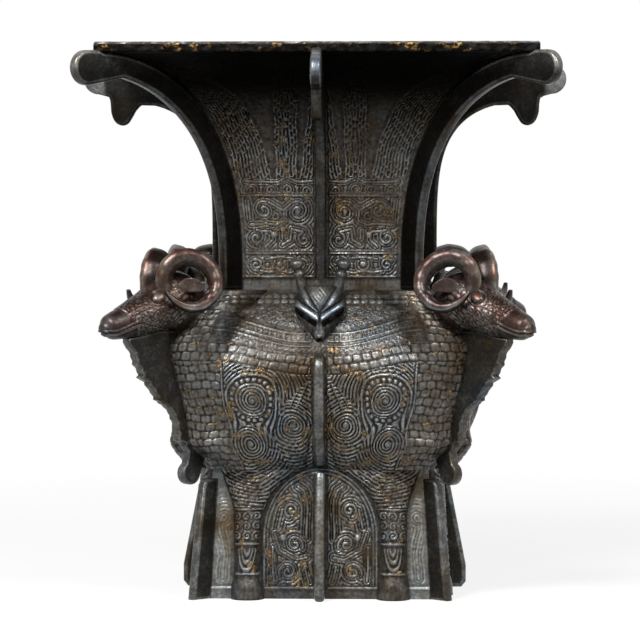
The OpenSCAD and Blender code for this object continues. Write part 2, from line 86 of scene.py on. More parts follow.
def put(name, data):
    """Adds an object with this data to the scene."""
    thing = bpy.data.objects.new(name, data)
    bpy.context.scene.collection.objects.link(thing)
    return thing


def cast(bm, kind, places, slot, sharp=60, suffix=""):
    """Turns a copy of a bmesh to each place round Z; it stands for the CAD node of that name."""
    bmesh.ops.recalc_face_normals(bm, faces=bm.faces)
    for place, angle in places.items():
        node = "_".join(part for part in (kind, place, suffix) if part)
        mesh = bpy.data.meshes.new("cast_" + node)
        bm.to_mesh(mesh)
        mesh.transform(turn_z(angle, 4))
        mesh.polygons.foreach_set("use_smooth", [True] * len(mesh.polygons))
        mesh.set_sharp_from_angle(angle=radians(sharp))
        piece = put("cast_" + node, mesh)
        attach(piece, "root")
        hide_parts(node)
        finish_of[piece.name] = slot
    triangles = sum(len(p.vertices) - 2 for p in mesh.polygons)
    print(f"{kind} x{len(places)}: {triangles} triangles each")
    bm.free()


# %% [markdown]
# Cast relief is a height over a surface. A sheet of fine quads is laid with create_grid, its
# vertices are moved to the surface, and each one is pushed out along the normal by the height of
# the relief there. Vertices about a millimetre apart carry lines of two millimetres. Soft noise
# wears the relief down in places. The height is also kept in a vertex attribute, "relief", as 0 in
# a hollow, 0.5 on plain metal and 1 on a ridge, so that the patina knows what is rubbed. A second
# attribute holds painted shade, black under the rim and in other places where shade falls, and
# dark blotches on the face of the rim.

# %% Sheets with relief
def sheet_normals(points):
    n = np.cross(np.gradient(points, axis=1), np.gradient(points, axis=0))
    return n / maximum(np.linalg.norm(n, axis=2, keepdims=True), 1e-9)


def local_mean(height, reach=4):
    """Mean height of the places round each one, along rows and then along columns."""
    for axis in (0, 1):
        height = sum(np.roll(height, k, axis) for k in range(-reach, reach + 1)) / (2 * reach + 1)
    return height


def wear(shape, reach, seed):
    """Soft random noise of unit strength; reach is half the width of its blots, in vertices."""
    noise = local_mean(np.random.default_rng(seed).normal(0, 1, shape), reach)
    return noise / noise.std()


def tone_layers(bm):
    """The two vertex attributes: relief for the patina, and painted shade with dark blotches."""
    layers = bm.verts.layers.float
    return [layers.get(name) or layers.new(name) for name in ("relief", "soot")]


worn_mean, worn_spread, grain_high, tone_gain = 0.86, 0.16, 0.07, 0.34


def lay_sheet(bm, points, height=None, soot=0.0, plain=0.5):
    """Lays a sheet over points[row, column] in mm; returns its vertices by row and column."""
    rubbed, dark = tone_layers(bm)
    rows, columns = points.shape[0] - 1, points.shape[1] - 1
    tone = np.full(points.shape[:2], 1.0) * plain
    if height is not None:
        worn_down = clip(worn_mean + worn_spread * wear(tone.shape, 7, 1), 0.4, 1.1)
        height = height * worn_down + grain_high * wear(tone.shape, 1, 2)
        points = points + sheet_normals(points) * height[..., None]
        tone = clip(tone + tone_gain * (height - local_mean(height)), 0, 1)
    soot = np.broadcast_to(soot, tone.shape)
    made = bmesh.ops.create_grid(bm, x_segments=columns, y_segments=rows, size=0.5)["verts"]
    grid = [[None] * (columns + 1) for _ in range(rows + 1)]
    for v in made:
        j, i = round((v.co.y + 0.5) * rows), round((v.co.x + 0.5) * columns)
        v.co = points[j, i] * MM
        v[rubbed], v[dark] = tone[j, i], soot[j, i]
        grid[j][i] = v
    return grid


def border(grid):
    """First and last row, first and last column of a sheet's vertices."""
    return grid[0], grid[-1], [row[0] for row in grid], [row[-1] for row in grid]


def close_between(bm, outer, inner):
    """Joins the four edges of an outer and an inner sheet by flat strips."""
    for far, near in zip(border(outer), border(inner)):
        bm.faces.new(far + near[::-1])


def length_run(x, y):
    """Length of a polyline up to each of its points."""
    return concatenate([[0], np.cumsum(hypot(np.diff(x), np.diff(y)))])


def even_steps(x, y, step):
    """Resamples a polyline to steps of about one length; returns x, y and the length run."""
    run = length_run(x, y)
    stops = linspace(0, run[-1], max(2, int(run[-1] / step) + 1))
    return np.interp(stops, run, x), np.interp(stops, run, y), stops


# %% [markdown]
# The ornament of these bronzes is built from a few shapes: raised lines, round scrolls, square
# "thunder" scrolls, rows of scales, small bosses, and stripes that are cut and bridged into hooks.
# Each function below takes distances in millimetres and gives 0 for the ground and 1 for the top
# of the relief. They work on whole arrays at once, which is much quicker than a loop over
# vertices.

# %% Ornament
def line(distance, half, soft=0.7):
    return smooth(half + soft, half - soft, abs(distance))


def stripes(phase, share=0.5):
    """One raised stripe for each whole step of the phase; share is the raised part."""
    top, soft = cos(pi * share), 0.55
    return smooth(top - soft, top + soft, cos(2 * pi * phase))


def boss(x, y, radius):
    return sqrt(clip(1 - (x * x + y * y) / radius**2, 0, 1))


def between(x, low, high):
    return (x > low) & (x < high)


def round_scroll(x, y, pitch, turn=1):
    return hypot(x, y) / pitch - turn * np.arctan2(y, x) / (2 * pi)


def chequer(x, y, cell):
    """Distances from the middle of a square cell, mirrored in every other cell."""
    i, j = np.floor(x / cell), np.floor(y / cell)
    flip = where((i + j) % 2 == 0, 1, -1)
    return (x - (i + 0.5) * cell) * flip, y - (j + 0.5) * cell


def thunder(x, y, cell, pitch):
    """Square scrolls, one in each cell."""
    a, b = chequer(x, y, cell)
    quarter = np.select([a >= abs(b), b >= abs(a), -a >= abs(b)], [0, 0.25, 0.5], 0.75)
    return stripes(maximum(abs(a), abs(b)) / pitch - quarter)


def curls(x, y, cell, pitch, share=0.55, fill=0.7):
    """Small round scrolls, one in each cell; fill is the height between them."""
    a, b = chequer(x, y, cell)
    edge = cell / 2 - hypot(a, b)
    wound = stripes(round_scroll(a, b, pitch), share)
    return where(edge > 0, wound, fill * smooth(-0.2, -1, edge))


def tiles(x, y, width, height, gap=0.9):
    """Rows of rounded scales, each row half a scale further on, parted by thin grooves."""
    rounding = 3
    a = abs((x / width + 0.5 * (np.floor(y / height) % 2)) % 1 - 0.5) * width
    b = abs((y / height) % 1 - 0.5) * height
    edge = minimum(width / 2 - a, height / 2 - b)
    corner = hypot(maximum(a - width / 2 + rounding, 0), maximum(b - height / 2 + rounding, 0))
    edge = minimum(edge, rounding - corner)
    return smooth(0, gap * 1.6, edge) * (0.8 + 0.2 * smooth(0, height / 2, edge))


def scroll_path(x, y, radius, start, turn, end=1):
    """Points along a round scroll that narrows to the end radius, for turn degrees from start."""
    u = linspace(0, 1, max(8, int(abs(turn) / 18)))
    a = radians(start + turn * u)
    r = mix(radius, end, u)
    return stack([x + r * cos(a), y + r * sin(a)], 1)


def from_path(x, y, path):
    """Distance from each place to a path of points."""
    best = np.full(x.shape, 1e9)
    for (ax, ay), (bx, by) in zip(path[:-1], path[1:]):
        dx, dy = bx - ax, by - ay
        u = clip(((x - ax) * dx + (y - ay) * dy) / (dx * dx + dy * dy + 1e-9), 0, 1)
        best = minimum(best, (x - ax - u * dx) ** 2 + (y - ay - u * dy) ** 2)
    return sqrt(best)


def outlines(x, y, paths, pitch=3.4, first=1.1):
    """Raised bands along paths, and thinner lines that follow them all round at one pitch."""
    d = np.min([from_path(x, y, p) for p in paths], axis=0)
    lines = 0.8 * stripes((d - first) / pitch - 0.5, 0.54)
    return where(d < first + 0.35 * pitch, line(d, first), lines)


def hooked(phase, along, share, cell=9.5):
    """Stripes that are cut here and bridged to the next stripe there, as hooks and mazes are."""
    high = stripes(phase, share)
    for shift, wanted in ((0.5, 0.0), (0.0, 1.0)):
        k = np.floor(phase + shift)
        u = along / cell + 0.38 * k
        # This hash gives each cell of each stripe a number from 0 to 1, always the same one.
        pick = sin(k * 12.99 + np.floor(u) * 78.23) * 437.58 % 1
        high = mix(high, wanted, line((u % 1 - 0.5) * cell, 0.9, 0.6) * (pick > 0.4))
    return high


def waver(x, y, size=0.6):
    """Small wanderings of a hand-cut line."""
    return (x + size * sin(y / 7.3 + 1.7 * sin(x / 17)),
            y + size * sin(x / 8.1 + 1.3 * sin(y / 13)))


# %% [markdown]
# The neck is four castings that meet in mitres. Seen in section each wall is a quarter wave:
# upright at the collar and level at the rim. The section is worked out once and every row of the
# sheet is a straight line across at that height, so one sheet makes the whole wall. The wall gets
# a plain inner sheet and four flat strips that close it.

# %% Shape of the neck wall
wall, rim_t = 4, 11
shoulder_z, neck_z, neck_hw = 326, 338, 90
rim_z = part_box("neck_panel_front")[1].z / MM
mouth_hw = -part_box("neck_panel_front")[0].y / MM
flare_z, flare = rim_z - rim_t, 1.3
neck_out, neck_rise = mouth_hw - neck_hw, flare_z - neck_z
quarter_turn = pi / 2


def neck_slope(a, widen=1):
    """Direction of the neck wall at angle a of its wave, as parts outwards and up."""
    up = neck_rise / flare * maximum(sin(a), 1e-6) ** (1 / flare - 1) * cos(a)
    upright = a < 1e-4
    slope = where(upright, 0, widen * neck_out * sin(a)), where(upright, 1, up)
    return slope / hypot(*slope)


def neck_wall(a, out=0):
    """Reach and height of the neck wall at angle a of its wave, out mm above the surface."""
    dx, dz = neck_slope(a)
    return (neck_hw + neck_out * (1 - cos(a)) + out * dz,
            neck_z + neck_rise * sin(a) ** (1 / flare) - out * dx)


wall_r, wall_z, neck_run = even_steps(*neck_wall(linspace(0, quarter_turn, 400)), 1.05)
print("neck wall:", len(wall_r), "rows over", round(neck_run[-1], 1), "mm")

# %% [markdown]
# Each half of a neck panel carries three zones of relief: a narrow band at the foot of the neck, a
# square panel with round scrolls and bosses, and above it tall leaves on a row of small scrolls.
# One leaf is folded over the side's flange, one stands free and one is folded over the corner, and
# they part as the neck flares. Lines follow each leaf's edge and are hooked together.

# %% Relief of the neck
low_zone, mid_zone, leaf_zone = (1, 26), (30, 87), (91, 268)
scroll_row, neck_high = 16, 1.3
flange_clear, corner_clear = 8, 10


def neck_relief(x, run, half):
    """Height in mm over the neck wall, x across from the middle, run up along the wall."""
    q, out = abs(x) - flange_clear, half - corner_clear - abs(x)
    inside = smooth(-0.5, 1, q) * smooth(-0.5, 1, out)
    high = np.zeros(x.shape)

    # The band at the foot.
    low = between(run, *low_zone)
    a, b = waver(q[low], run[low] - 13.8)
    paths = [scroll_path(13, 1, 6.5, 150, -470), scroll_path(61, 1, 6.5, 30, 470),
             [(18, -6), (27, -8), (37, -6.5), (47, -8), (56, -6)], [(22, 7), (37, 8), (52, 7)],
             scroll_path(37, 0.5, 6, 150, 240, 6)]
    eye = boss(a - 37, b - 0.5, 3.4)
    high[low] = maximum(outlines(a, b, paths, 3.3, 1.0) * line(b, 10), 1.5 * eye)

    # The square panel.
    mid = between(run, *mid_zone)
    a, b = waver(q[mid] - 37, run[mid] - 58.5)
    paths = [scroll_path(-20, 12, 11, 60, 560), scroll_path(16, 14, 9.5, 110, -520),
             scroll_path(-26, -17, 7, 80, -400), scroll_path(24, -15, 8, 110, 430),
             [(-14, 22), (-4, 14), (10, 22.5)], [(-4, 14), (-6, 2), (3, -2), (14, 0), (31, -2)],
             [(-26, -9), (-14, -7), (-12, -18), (-3, -24)],
             [(24, -7), (8, -9), (6, -18), (14, -25)], [(-4, -8), (-4, -17)], [(31, 4), (32, 24)]]
    eyes = maximum(boss(a + 20, b - 12, 3.6), boss(a - 5, b + 13, 3.6))
    high[mid] = maximum(outlines(a, b, paths) * line(b, 27.5), 1.5 * eyes)

    # The leaves and the row of scrolls that they stand on.
    up = between(run, *leaf_zone)
    above = run[up] - leaf_zone[0]
    rise = above / (leaf_zone[1] - leaf_zone[0])
    full = sqrt(1 - smooth(0.55, 1.02, rise))
    for off, reach in ((out[up], (35 + 14 * rise) * full), (q[up] - 28.5, (11 + 3 * rise) * full),
                       (q[up], 16.5 * (1 - rise / 0.75))):
        edge = reach - abs(off)
        a, b = waver(edge, above, 0.9)
        leaf = 1.1 * hooked(a / 3.5 - 0.25, b, 0.52, 8.5)
        high[up] = maximum(high[up], leaf * smooth(-0.6, 0.2, edge))
    a, b = waver(q[up], above, 1.0)
    paths = [scroll_path(c, 3, 5, start, turn)
             for c, start, turn in ((9, 180, -400), (28, 0, 400), (47, 180, -400), (65, 0, 400))]
    paths.append([(0, 14), (18, 12), (28, 16), (38, 11), (57, 13), (72, 12)])
    row = outlines(a, b, paths, 3.2, 1.0) * smooth(scroll_row, scroll_row - 1, b)
    high[up] = where(b < scroll_row, row, high[up])

    # Plain lines part the zones.
    rules = [line(run - c, 0.8) for c in (1.6, 26.6, 29.4, 88.0, 90.8)]
    worn = 0.85 + 0.15 * sin(x / 31 + run / 47)
    return neck_high * worn * inside * maximum.reduce([high] + rules) * smooth(0, 1.5, run)


# %% Neck panels
def wall_rows(r, z, columns):
    """Rows of points straight across a side wall, from mitre to mitre."""
    across = linspace(-1, 1, columns + 1)
    r, z = (np.repeat(v[:, None], columns + 1, 1) for v in (r, z))
    return stack([r * across, -r, z], 2)


spigot_hw, spigot_z, collar_hw = 79.85, 314, 87
rounding, neck_columns = 3, 248
lip = radians(linspace(0, 90, 5))
below_r = [spigot_hw] * 2 + [collar_hw] * 3 + [neck_hw - 1, neck_hw - 0.3]
below_z = [spigot_z, shoulder_z, shoulder_z, shoulder_z + 1, neck_z, neck_z, neck_z + 0.3]
rim_r = concatenate([[mouth_hw - 0.6], np.full(6, mouth_hw), mouth_hw - rounding * (1 - cos(lip))])
rim_up = concatenate([[flare_z + 0.2, flare_z + 1], linspace(flare_z + 2, rim_z - 4, 5),
                      rim_z - rounding * (1 - sin(lip))])
r = concatenate([below_r, wall_r[1:-1], rim_r])
z = concatenate([below_z, wall_z[1:-1], rim_up])
run = concatenate([np.zeros(len(below_r)), neck_run[1:-1], np.full(len(rim_r), neck_run[-1])])
points = wall_rows(r, z, neck_columns)
high = neck_relief(points[..., 0], np.broadcast_to(run[:, None], points.shape[:2]), r[:, None])

# Painted shade: the neck is blackened under the rim, and the face of the rim is darkened in
# blotches. Painted light: the lip along the top of the rim is a painted highlight, and the collar at
# the foot of the neck is painted lighter to lift the shade under the neck's lower edge.
shade_under_rim = smooth(100, 225, run) * smooth(flare_z + 1.5, flare_z - 0.5, z)
on_rim = smooth(flare_z - 0.5, flare_z + 1, z)[:, None]
lip_highlight = smooth(rim_z - 2.5, rim_z - 1, z)[:, None]
blotches = 0.33 * wear(points.shape[:2], 1, 5)
collar_painted_light = 0.5 + 0.1 * (z < neck_z + 0.2)[:, None]
plain = collar_painted_light + on_rim * clip(0.5 * blotches - 0.28, -0.4, 0.25) + 0.45 * lip_highlight
neck_shade_and_blotches = shade_under_rim[:, None] + on_rim * clip(0.66 + 1.3 * blotches, 0.12, 0.94) * (1 - lip_highlight)

inner_wave = linspace(0, quarter_turn, 24)
in_r, in_z = neck_wall(inner_wave, -mix(wall, rim_t, (inner_wave / quarter_turn) ** 5))
in_r = concatenate([[spigot_hw - wall] * 2, in_r[:-1], [mouth_hw - 6]])
in_z = concatenate([[spigot_z, shoulder_z], in_z[:-1], [rim_z - 0.05]])
bm = bmesh.new()
outer = lay_sheet(bm, points, high, neck_shade_and_blotches, plain)
close_between(bm, outer, lay_sheet(bm, wall_rows(in_r, in_z, 24)))
cast(bm, "neck_panel", SIDES, "dark_bronze")

# %% [markdown]
# The body is four quarters, one for each ram. In plan, a quarter runs from the middle of one side,
# out over the ram's flank, round its chest at the corner and back to the middle of the next side.
# The distance of the skin from the vessel's axis is a formula of height and of the ratio t, which
# is 0 in the middle of a side and 1 at the corner: a swelling belly, a bulge for the flank, an
# oval for the chest and a flat seat where the head is joined. Where two neighbours' legs stand on
# one side of the foot, their inner edges make a round arch.

# %% Shape of the body
foot_h = 138
body_h = shoulder_z - foot_h
foot_top_hw, foot_hw, shoulder_hw = 114, 122, 104
leg_x, leg_w, leg_out, thigh_out = 77, 29, 15, 15
arch_w, arch_z, arch_h = leg_x - leg_w / 2, 66, 74.5
chest_l, chest_w = 45.0, 42.0
belly_out, flank_out, corner_in = 46, 13, 26
root2 = sqrt(2)


def bulge(x):
    return maximum(0, sin(pi * clip(x, 0, 1)))


def side_reach(s):
    """Distance of the belly from the axis in the middle of a side, at share s of its height."""
    return mix(foot_top_hw, shoulder_hw, s) + belly_out * bulge(s) ** 0.75


def chest_reach(s):
    """Distance of a chest's front from the axis, along the corner."""
    return (foot_top_hw * root2 + 40 * smooth(-0.04, 0.17, s) + 24 * smooth(0.17, 0.73, s)
            - 45 * smooth(0.78, 1.1, s))


seat_s, seat_tilt = 0.888, radians(40)
seat_z = foot_h + body_h * seat_s
seat_r = float(chest_reach(seat_s)) - 15


def leg_span(z):
    """Inner and outer edge of a leg on its side of the foot."""
    arch = arch_w * sqrt(1 - clip((z - arch_z) / arch_h, 0, 1) ** 2)
    widen = clip((z / foot_h - 0.64) / 0.36, 0, 1) ** 1.3
    return arch, leg_x + leg_w / 2 + thigh_out * widen


def body_reach(t, z):
    """Distance of the skin from the axis, square to its side."""
    s = (z - foot_h) / body_h
    flank = flank_out * bulge((t - 0.08) / 0.92) * bulge(s)
    corner = corner_in * smooth(0.55, 1, t) * smooth(0, 0.3, s) * (1 - smooth(0.8, 1, s))
    plain = side_reach(s) + flank - corner
    # The chest is an oval on the diagonal; a line from the axis leaves it at a quadratic's root.
    along, across, c = (1 + t) / root2, (1 - t) / root2, chest_reach(s) - chest_l
    q = along**2 / chest_l**2 + across**2 / chest_w**2
    m = along * c / chest_l**2
    d = m * m - q * (c * c / chest_l**2 - 1)
    chest = where(d > 0, (m + sqrt(maximum(d, 0))) / q, 0)
    # Belly and chest run softly together, and the head's seat cuts them flat.
    blend = maximum(10 * smooth(0, 0.1, t - 0.08), 1e-3)
    u = maximum(blend - abs(plain - chest), 0) / blend
    skin = maximum(plain, chest) + u * u * blend / 4
    skin = minimum(skin, root2 * (seat_r - (z - seat_z) * tan(seat_tilt)) / (1 + t))
    # The thighs fade out under the belly.
    low, high = leg_span(np.float64(foot_h))
    low, high = low - 30 * s, high + 30 * s
    e = (side_reach(s) * t - (low + high) / 2) / ((high - low) / 2)
    return skin + leg_out * (1 - smooth(0, 0.34, s)) * sqrt(clip(1 - e * e, 0, 1))


# %% [markdown]
# The rams wear four kinds of relief. Their chests are covered with rows of rounded scales, two
# rows of larger scales run along their backs, and round scrolls in contour lines fill the flanks
# and flow down on to the legs, which end in a band of small scrolls and a hanging tongue above the
# hoof. The sloping shoulder has a worn ground of scrolls, a band of lines and a double row of
# beads. The contour lines come from one distance field over the side, so they run on from the body
# to the legs.

# %% Relief of the rams
scale_w, scale_h, thigh_z, flank_high = 10.2, 8.8, 97, 1.35


def flank_lines(x, z):
    """Contour lines round the three scrolls of a half flank, x from the middle of the side."""
    x, z = waver(x, z, 1.2)
    scrolls = [(70, 213, 25, 1), (72, 166, 19, -1), (28, 184, 15, -1)]
    gaps = [hypot(x - cx, (z - cz) * 0.94) - r for cx, cz, r, _ in scrolls]
    pair = -11 * np.log(np.exp(-gaps[0] / 11) + np.exp(-gaps[1] / 11))
    phase = minimum(pair, gaps[2]) / 3.5 - 0.25
    along = where(pair < gaps[2], (x - 71) * 0.8 - (z - 190), (x - 28) - (z - 184)) + 0.5 * (x + z)
    high = hooked(phase, along, 0.56)
    for (cx, cz, r, turn), gap in zip(scrolls, gaps):
        angle = np.arctan2(z - cz, x - cx)
        wound = stripes(round_scroll(x - cx, z - cz, 3.3, turn), 0.54)
        teeth = 0.85 * stripes(angle * 22 / (2 * pi), 0.55) * line(gap + 4.4, 1.6)
        toothed = (gap > -7.5) & (r > 20)
        inner = where(toothed, maximum(teeth, line(gap + 8.2, 0.6)), wound)
        high = where(gap < -1.2, inner, high)
        high = maximum(high, 1.2 * boss(x - cx, z - cz, 2.8))
    return high


def leg_lines(x, z):
    """Bands of relief down a leg: small round scrolls, two rings and a tongue above the hoof."""
    mid, z = waver(x - leg_x, z, 0.5)
    scrolls = 0.8 * curls(mid + 5.2, z - 62, 10.4, 3.4) * line(z - 77.5, 15)
    rings = maximum(line(z - 58.5, 0.7), line(z - 95.5, 0.7))
    drop = 9.5 * (1 - hypot(mid / 9.5, maximum(55 - z, 0) / 25))
    tongue = maximum.reduce([line(drop - c, 0.7) for c in (0.6, 3.6, 6.6)]) * line(z - 42, 12)
    return maximum.reduce([scrolls, rings, 0.8 * tongue, 1.1 * line(z - 27.5, 1.0)])


def side_lines(x, z):
    return flank_high * where(z > thigh_z, flank_lines(x, z), leg_lines(x, z))


def body_relief(x, z, tip, run_z):
    """Height in mm; x is from the middle of the side, tip round the skin from the corner."""
    # Flank and chest below the line of the back, large scales along it, the nape above it.
    back = 249 + 15 * smooth(8, 112, x)
    chest_end = 54 + 3 * sin(run_z / 17)
    above, below = z - back, z < back - 11
    flank = side_lines(x, z) * smooth(7, 9, x) * smooth(1, 3, tip - chest_end - 2)
    high = where(below, maximum(flank, flank_high * line(tip - chest_end - 1.5, 0.8)), 0)
    chest = 0.8 * tiles(*waver(tip - 7, run_z, 1.3), 10.4, scale_h, 0.75) * smooth(6, 8, tip)
    high = where((tip < chest_end) & below, chest, high)
    spine = 0.95 * tiles(*waver(x + 0.3 * above, above + 10.6), scale_w, 9.6, 0.8)
    high = where(between(above, -10, 10) & (x > 9), spine * smooth(10, 9.2, abs(above)), high)
    nape = 0.8 * tiles(*waver(tip - 4, run_z, 1.3), scale_w, scale_h, 0.75) * smooth(50, 46, tip)
    high = where((above >= 10) & (tip < 50) & (z < 306), nape, high)

    # The shoulder: a band of lines and scrolls, a worn ground, and beads under the neck.
    saddle = z - (273 + 18 * smooth(20, 110, x))
    band = [line(saddle, 0.7), line(saddle - 8.4, 0.7), line(saddle + 5, 0.6),
            0.6 * thunder(x, saddle - 0.5, 7.4, 3.7) * line(saddle - 4.2, 2.9)]
    ground = 0.45 * curls(*waver(x, 1.5 * saddle, 0.8), 9.4, 3.6)
    ground *= (z < 309) & (abs(saddle - 4) > 11)
    shoulder = maximum(0.8 * maximum.reduce(band), ground) * smooth(52, 58, tip)
    high = maximum(high, shoulder * (x > 9) * (above > 12))
    beads = maximum.reduce([boss((x % 8.4) - 4.2, (z - row) * 1.7, 3.6) for row in (314.5, 319.4)])
    high = maximum(high, 0.8 * beads * smooth(38, 42, tip) * (x > 10))
    return high * smooth(0.2, 1.2, shoulder_z - z) * smooth(0, 1.5, run_z)


# %% Ram bodies with their legs
belly_z = 225


def body_points(t, z):
    """Points from the middle of the front, round the corner, to the middle of the right side."""
    t, z = np.meshgrid(t, z)
    h = body_reach(minimum(t, 2 - t), z)
    return stack([h * minimum(t, 1), -h * minimum(2 - t, 1), z], 2)


def even_ratio(columns):
    """Ratios that part a quarter's row at the belly's height into even steps."""
    t = linspace(0, 2, 2001)
    run = length_run(*body_points(t, [float(belly_z)])[0, :, :2].T)
    return np.interp(linspace(0, run[-1], columns + 1), run, t)


half_columns = 176
fine_z = linspace(foot_h, shoulder_z, 1500)
_, body_z, body_run = even_steps(body_reach(np.full(1500, 0.3), fine_z), fine_z, 0.95)
points = body_points(even_ratio(2 * half_columns), body_z)
steps = np.linalg.norm(np.diff(points, axis=1), axis=2)
round_run = np.pad(np.cumsum(steps, axis=1), ((0, 0), (1, 0)))
tip = abs(round_run - round_run[:, [half_columns]])
from_mid = abs(points[..., :2]).min(axis=2)
high = body_relief(from_mid, points[..., 2], tip, np.repeat(body_run[:, None], points.shape[1], 1))
# Painted shade on the shoulder under and behind the beast's head.
shade_under_chin = 0.14 * smooth(26, 10, from_mid) * smooth(252, 258, points[..., 2])

in_z = linspace(foot_h, shoulder_z, 40)
inside = body_points(even_ratio(40), in_z)
reach = maximum(abs(inside[..., :2]).max(axis=2, keepdims=True), 1)
lip = smooth(0.9, 0.95, (in_z - foot_h) / body_h)[:, None, None]
sill = (in_z < foot_h + 5)[:, None, None]
bowl = mix(minimum(reach, 150) - wall, 80, lip)
inside[..., :2] *= where(sill, foot_top_hw - wall, bowl) / reach
bm = bmesh.new()
close_between(bm, lay_sheet(bm, points, high, 0.0, 0.5 - shade_under_chin), lay_sheet(bm, inside))


def foot_edge(z):
    """Distance of the foot's wall from the axis."""
    return mix(foot_hw, foot_top_hw, z / foot_h)


leg_rows, leg_columns, hoof_out = 118, 53, 3
round_leg = radians(linspace(-90, 90, leg_columns))
z, w = np.meshgrid(linspace(0, foot_h, leg_rows), round_leg, indexing="ij")
low, far = leg_span(z)
hoof = hoof_out * (1 - smooth(0.08, 0.2, z / foot_h))
x = (low + far) / 2 + ((far - low) / 2 + hoof) * sin(w)
points = stack([x, -foot_edge(z) - (leg_out + hoof) * cos(w), z], 2)
high = side_lines(x, z) * smooth(0, 1.5, foot_h - z) * (z >= 26)
high *= smooth(0, 4, minimum(x - low, far - x))
mirrored = stack([-points[..., 1], -points[..., 0], z], 2)[:, ::-1]
for leg, relief in ((points, high), (mirrored, high[:, ::-1])):
    grid = lay_sheet(bm, leg, relief)
    foot, top, one, other = border(grid)
    for edge in (foot, top, one + other[::-1]):
        bm.faces.new(edge)
cast(bm, "ram_body", CORNERS, "dark_bronze")

# %% [markdown]
# Flanges stand along every joint of the casting moulds: in the middle of each side and on each
# corner. A flange is a flat plate of one thickness. Its outline is drawn once with x outwards and
# z up, extruded, and its edges are bevelled, because hands and cloths have rubbed them round. The
# rubbed edge gets a high "relief" value and the broad faces a low one. An inset loop on each broad
# face keeps the brightness near the edge.

# %% Flange plates
flange_t, inset = 11, 1.2
face_tone, bare_and_lit_tone, bare_fade = 0.42, 0.66, 5
flange_shade, shade_fade = 0.65, 12


def pairs(x, z):
    return stack([x, z], 1)


def arc(x, z, radius, start, end, count):
    a = radians(linspace(start, end, count))
    return pairs(x + radius * cos(a), z + radius * sin(a))


def broad_faces(bm):
    return sorted(bm.faces, key=lambda f: f.calc_area())[-2:]


def cast_flange(kind, places, outline, edge, edge_tone, shade_z=None, bare=None):
    """Casts plates with rubbed edges and painted shade below a height; past the point bare the
    edges are rubbed bare and the top gets a painted highlight.
    """
    bm = bmesh.new()
    rubbed, dark = tone_layers(bm)
    face = bm.faces.new([bm.verts.new((x * MM, -flange_t / 2 * MM, z * MM)) for x, z in outline])
    made = bmesh.ops.extrude_face_region(bm, geom=[face])["geom"]
    moved = [v for v in made if isinstance(v, bmesh.types.BMVert)]
    bmesh.ops.translate(bm, verts=moved, vec=(0, flange_t * MM, 0))
    bmesh.ops.recalc_face_normals(bm, faces=bm.faces)
    sides = list({e for f in broad_faces(bm) for e in f.edges})
    bmesh.ops.bevel(bm, geom=sides, offset=edge * MM, affect="EDGES", segments=4, profile=0.5,
                    material=-1)
    for v in bm.verts:
        v[rubbed] = edge_tone
    bmesh.ops.inset_region(bm, faces=broad_faces(bm), thickness=inset * MM, use_even_offset=False)
    for v in {v for f in broad_faces(bm) for v in f.verts}:
        v[rubbed] = face_tone
    # Painted shade on the part of the flange that the rim overhangs.
    if shade_z:
        for v in bm.verts:
            v[dark] = flange_shade * float(smooth(shade_z, shade_z - shade_fade, v.co.z / MM))
    if bare:
        start, level = bare
        for cut in (start, start + bare_fade):
            bmesh.ops.bisect_plane(bm, geom=bm.verts[:] + bm.edges[:] + bm.faces[:], dist=1e-7,
                                   plane_co=(cut * MM, 0, 0), plane_no=(1, 0, 0))
        for v in bm.verts:
            x, y, z = v.co / MM
            # Past the start the edges are rubbed bare, and above the level the top of the tongue is
            # a painted highlight, where light from above falls.
            worn = max(smooth(0.3, 0.42, abs(y) / flange_t), smooth(level - 9, level + 3, z))
            share = float(worn * smooth(start, start + bare_fade, x))
            v[rubbed], v[dark] = mix(v[rubbed], bare_and_lit_tone, share), v[dark] * (1 - share)
    bmesh.ops.rotate(bm, verts=bm.verts, matrix=turn_z(-90 if places is SIDES else -45))
    cast(bm, kind, places, "flange_bronze", 45)


# %% [markdown]
# The tall flange on a neck panel follows the flare at a distance, hangs down in a tooth below the
# rim and ends in a rounded tongue past it, whose edges are rubbed bare and whose top is painted
# lighter, a painted highlight. The flange on a neck corner has no tooth, and its tongue is larger.
# The roots of both reach some millimetres into the wall, and both carry painted shade where the
# rim overhangs them.

# %% Neck flanges
def through(rows, k):
    """Smooth curve through the rows of a table, at places k between row numbers."""
    i = clip(np.floor(k).astype(int), 0, len(rows) - 2)
    u = (k - i)[:, None]
    p = [rows[clip(i + n, 0, len(rows) - 1)] for n in (-1, 0, 1, 2)]
    return 0.5 * (2 * p[1] + (p[2] - p[0]) * u + (2 * p[0] - 5 * p[1] + 4 * p[2] - p[3]) * u**2
                  + (3 * p[1] - p[0] - 3 * p[2] + p[3]) * u**3)


sink, corner_sink = 1.5, 5.2
tooth_l, tooth_r, tooth_z = mouth_hw - 22, mouth_hw + 5, flare_z - 70
edge_r, edge_z = neck_hw + 32, flare_z - 46
tongue_r, tongue_z = 16, flare_z - 20
a = radians(linspace(0, 84, 40))[:-4]
lean = pairs(edge_r + (tooth_l - edge_r) * (1 - cos(a)), neck_z + (edge_z - neck_z) * sin(a) ** 0.4)
tooth_rows = array([
    [tooth_l - 14, edge_z - 1], [tooth_l - 7, edge_z - 2], [tooth_l - 1, edge_z - 8],
    [tooth_l + 3, tooth_z + 9], [tooth_l + 8, tooth_z + 2], [tooth_l + 15, tooth_z],
    [tooth_r - 5, tooth_z + 4], [tooth_r - 1, tooth_z + 13], [tooth_r, tooth_z + 24],
    [tooth_r + 2, tongue_z - tongue_r - 3], [tooth_r + 9, tongue_z - tongue_r]])
tooth = through(tooth_rows, linspace(1, 9, 44))
root = pairs(*neck_wall(linspace(quarter_turn - 0.06, 0, 60), -sink))
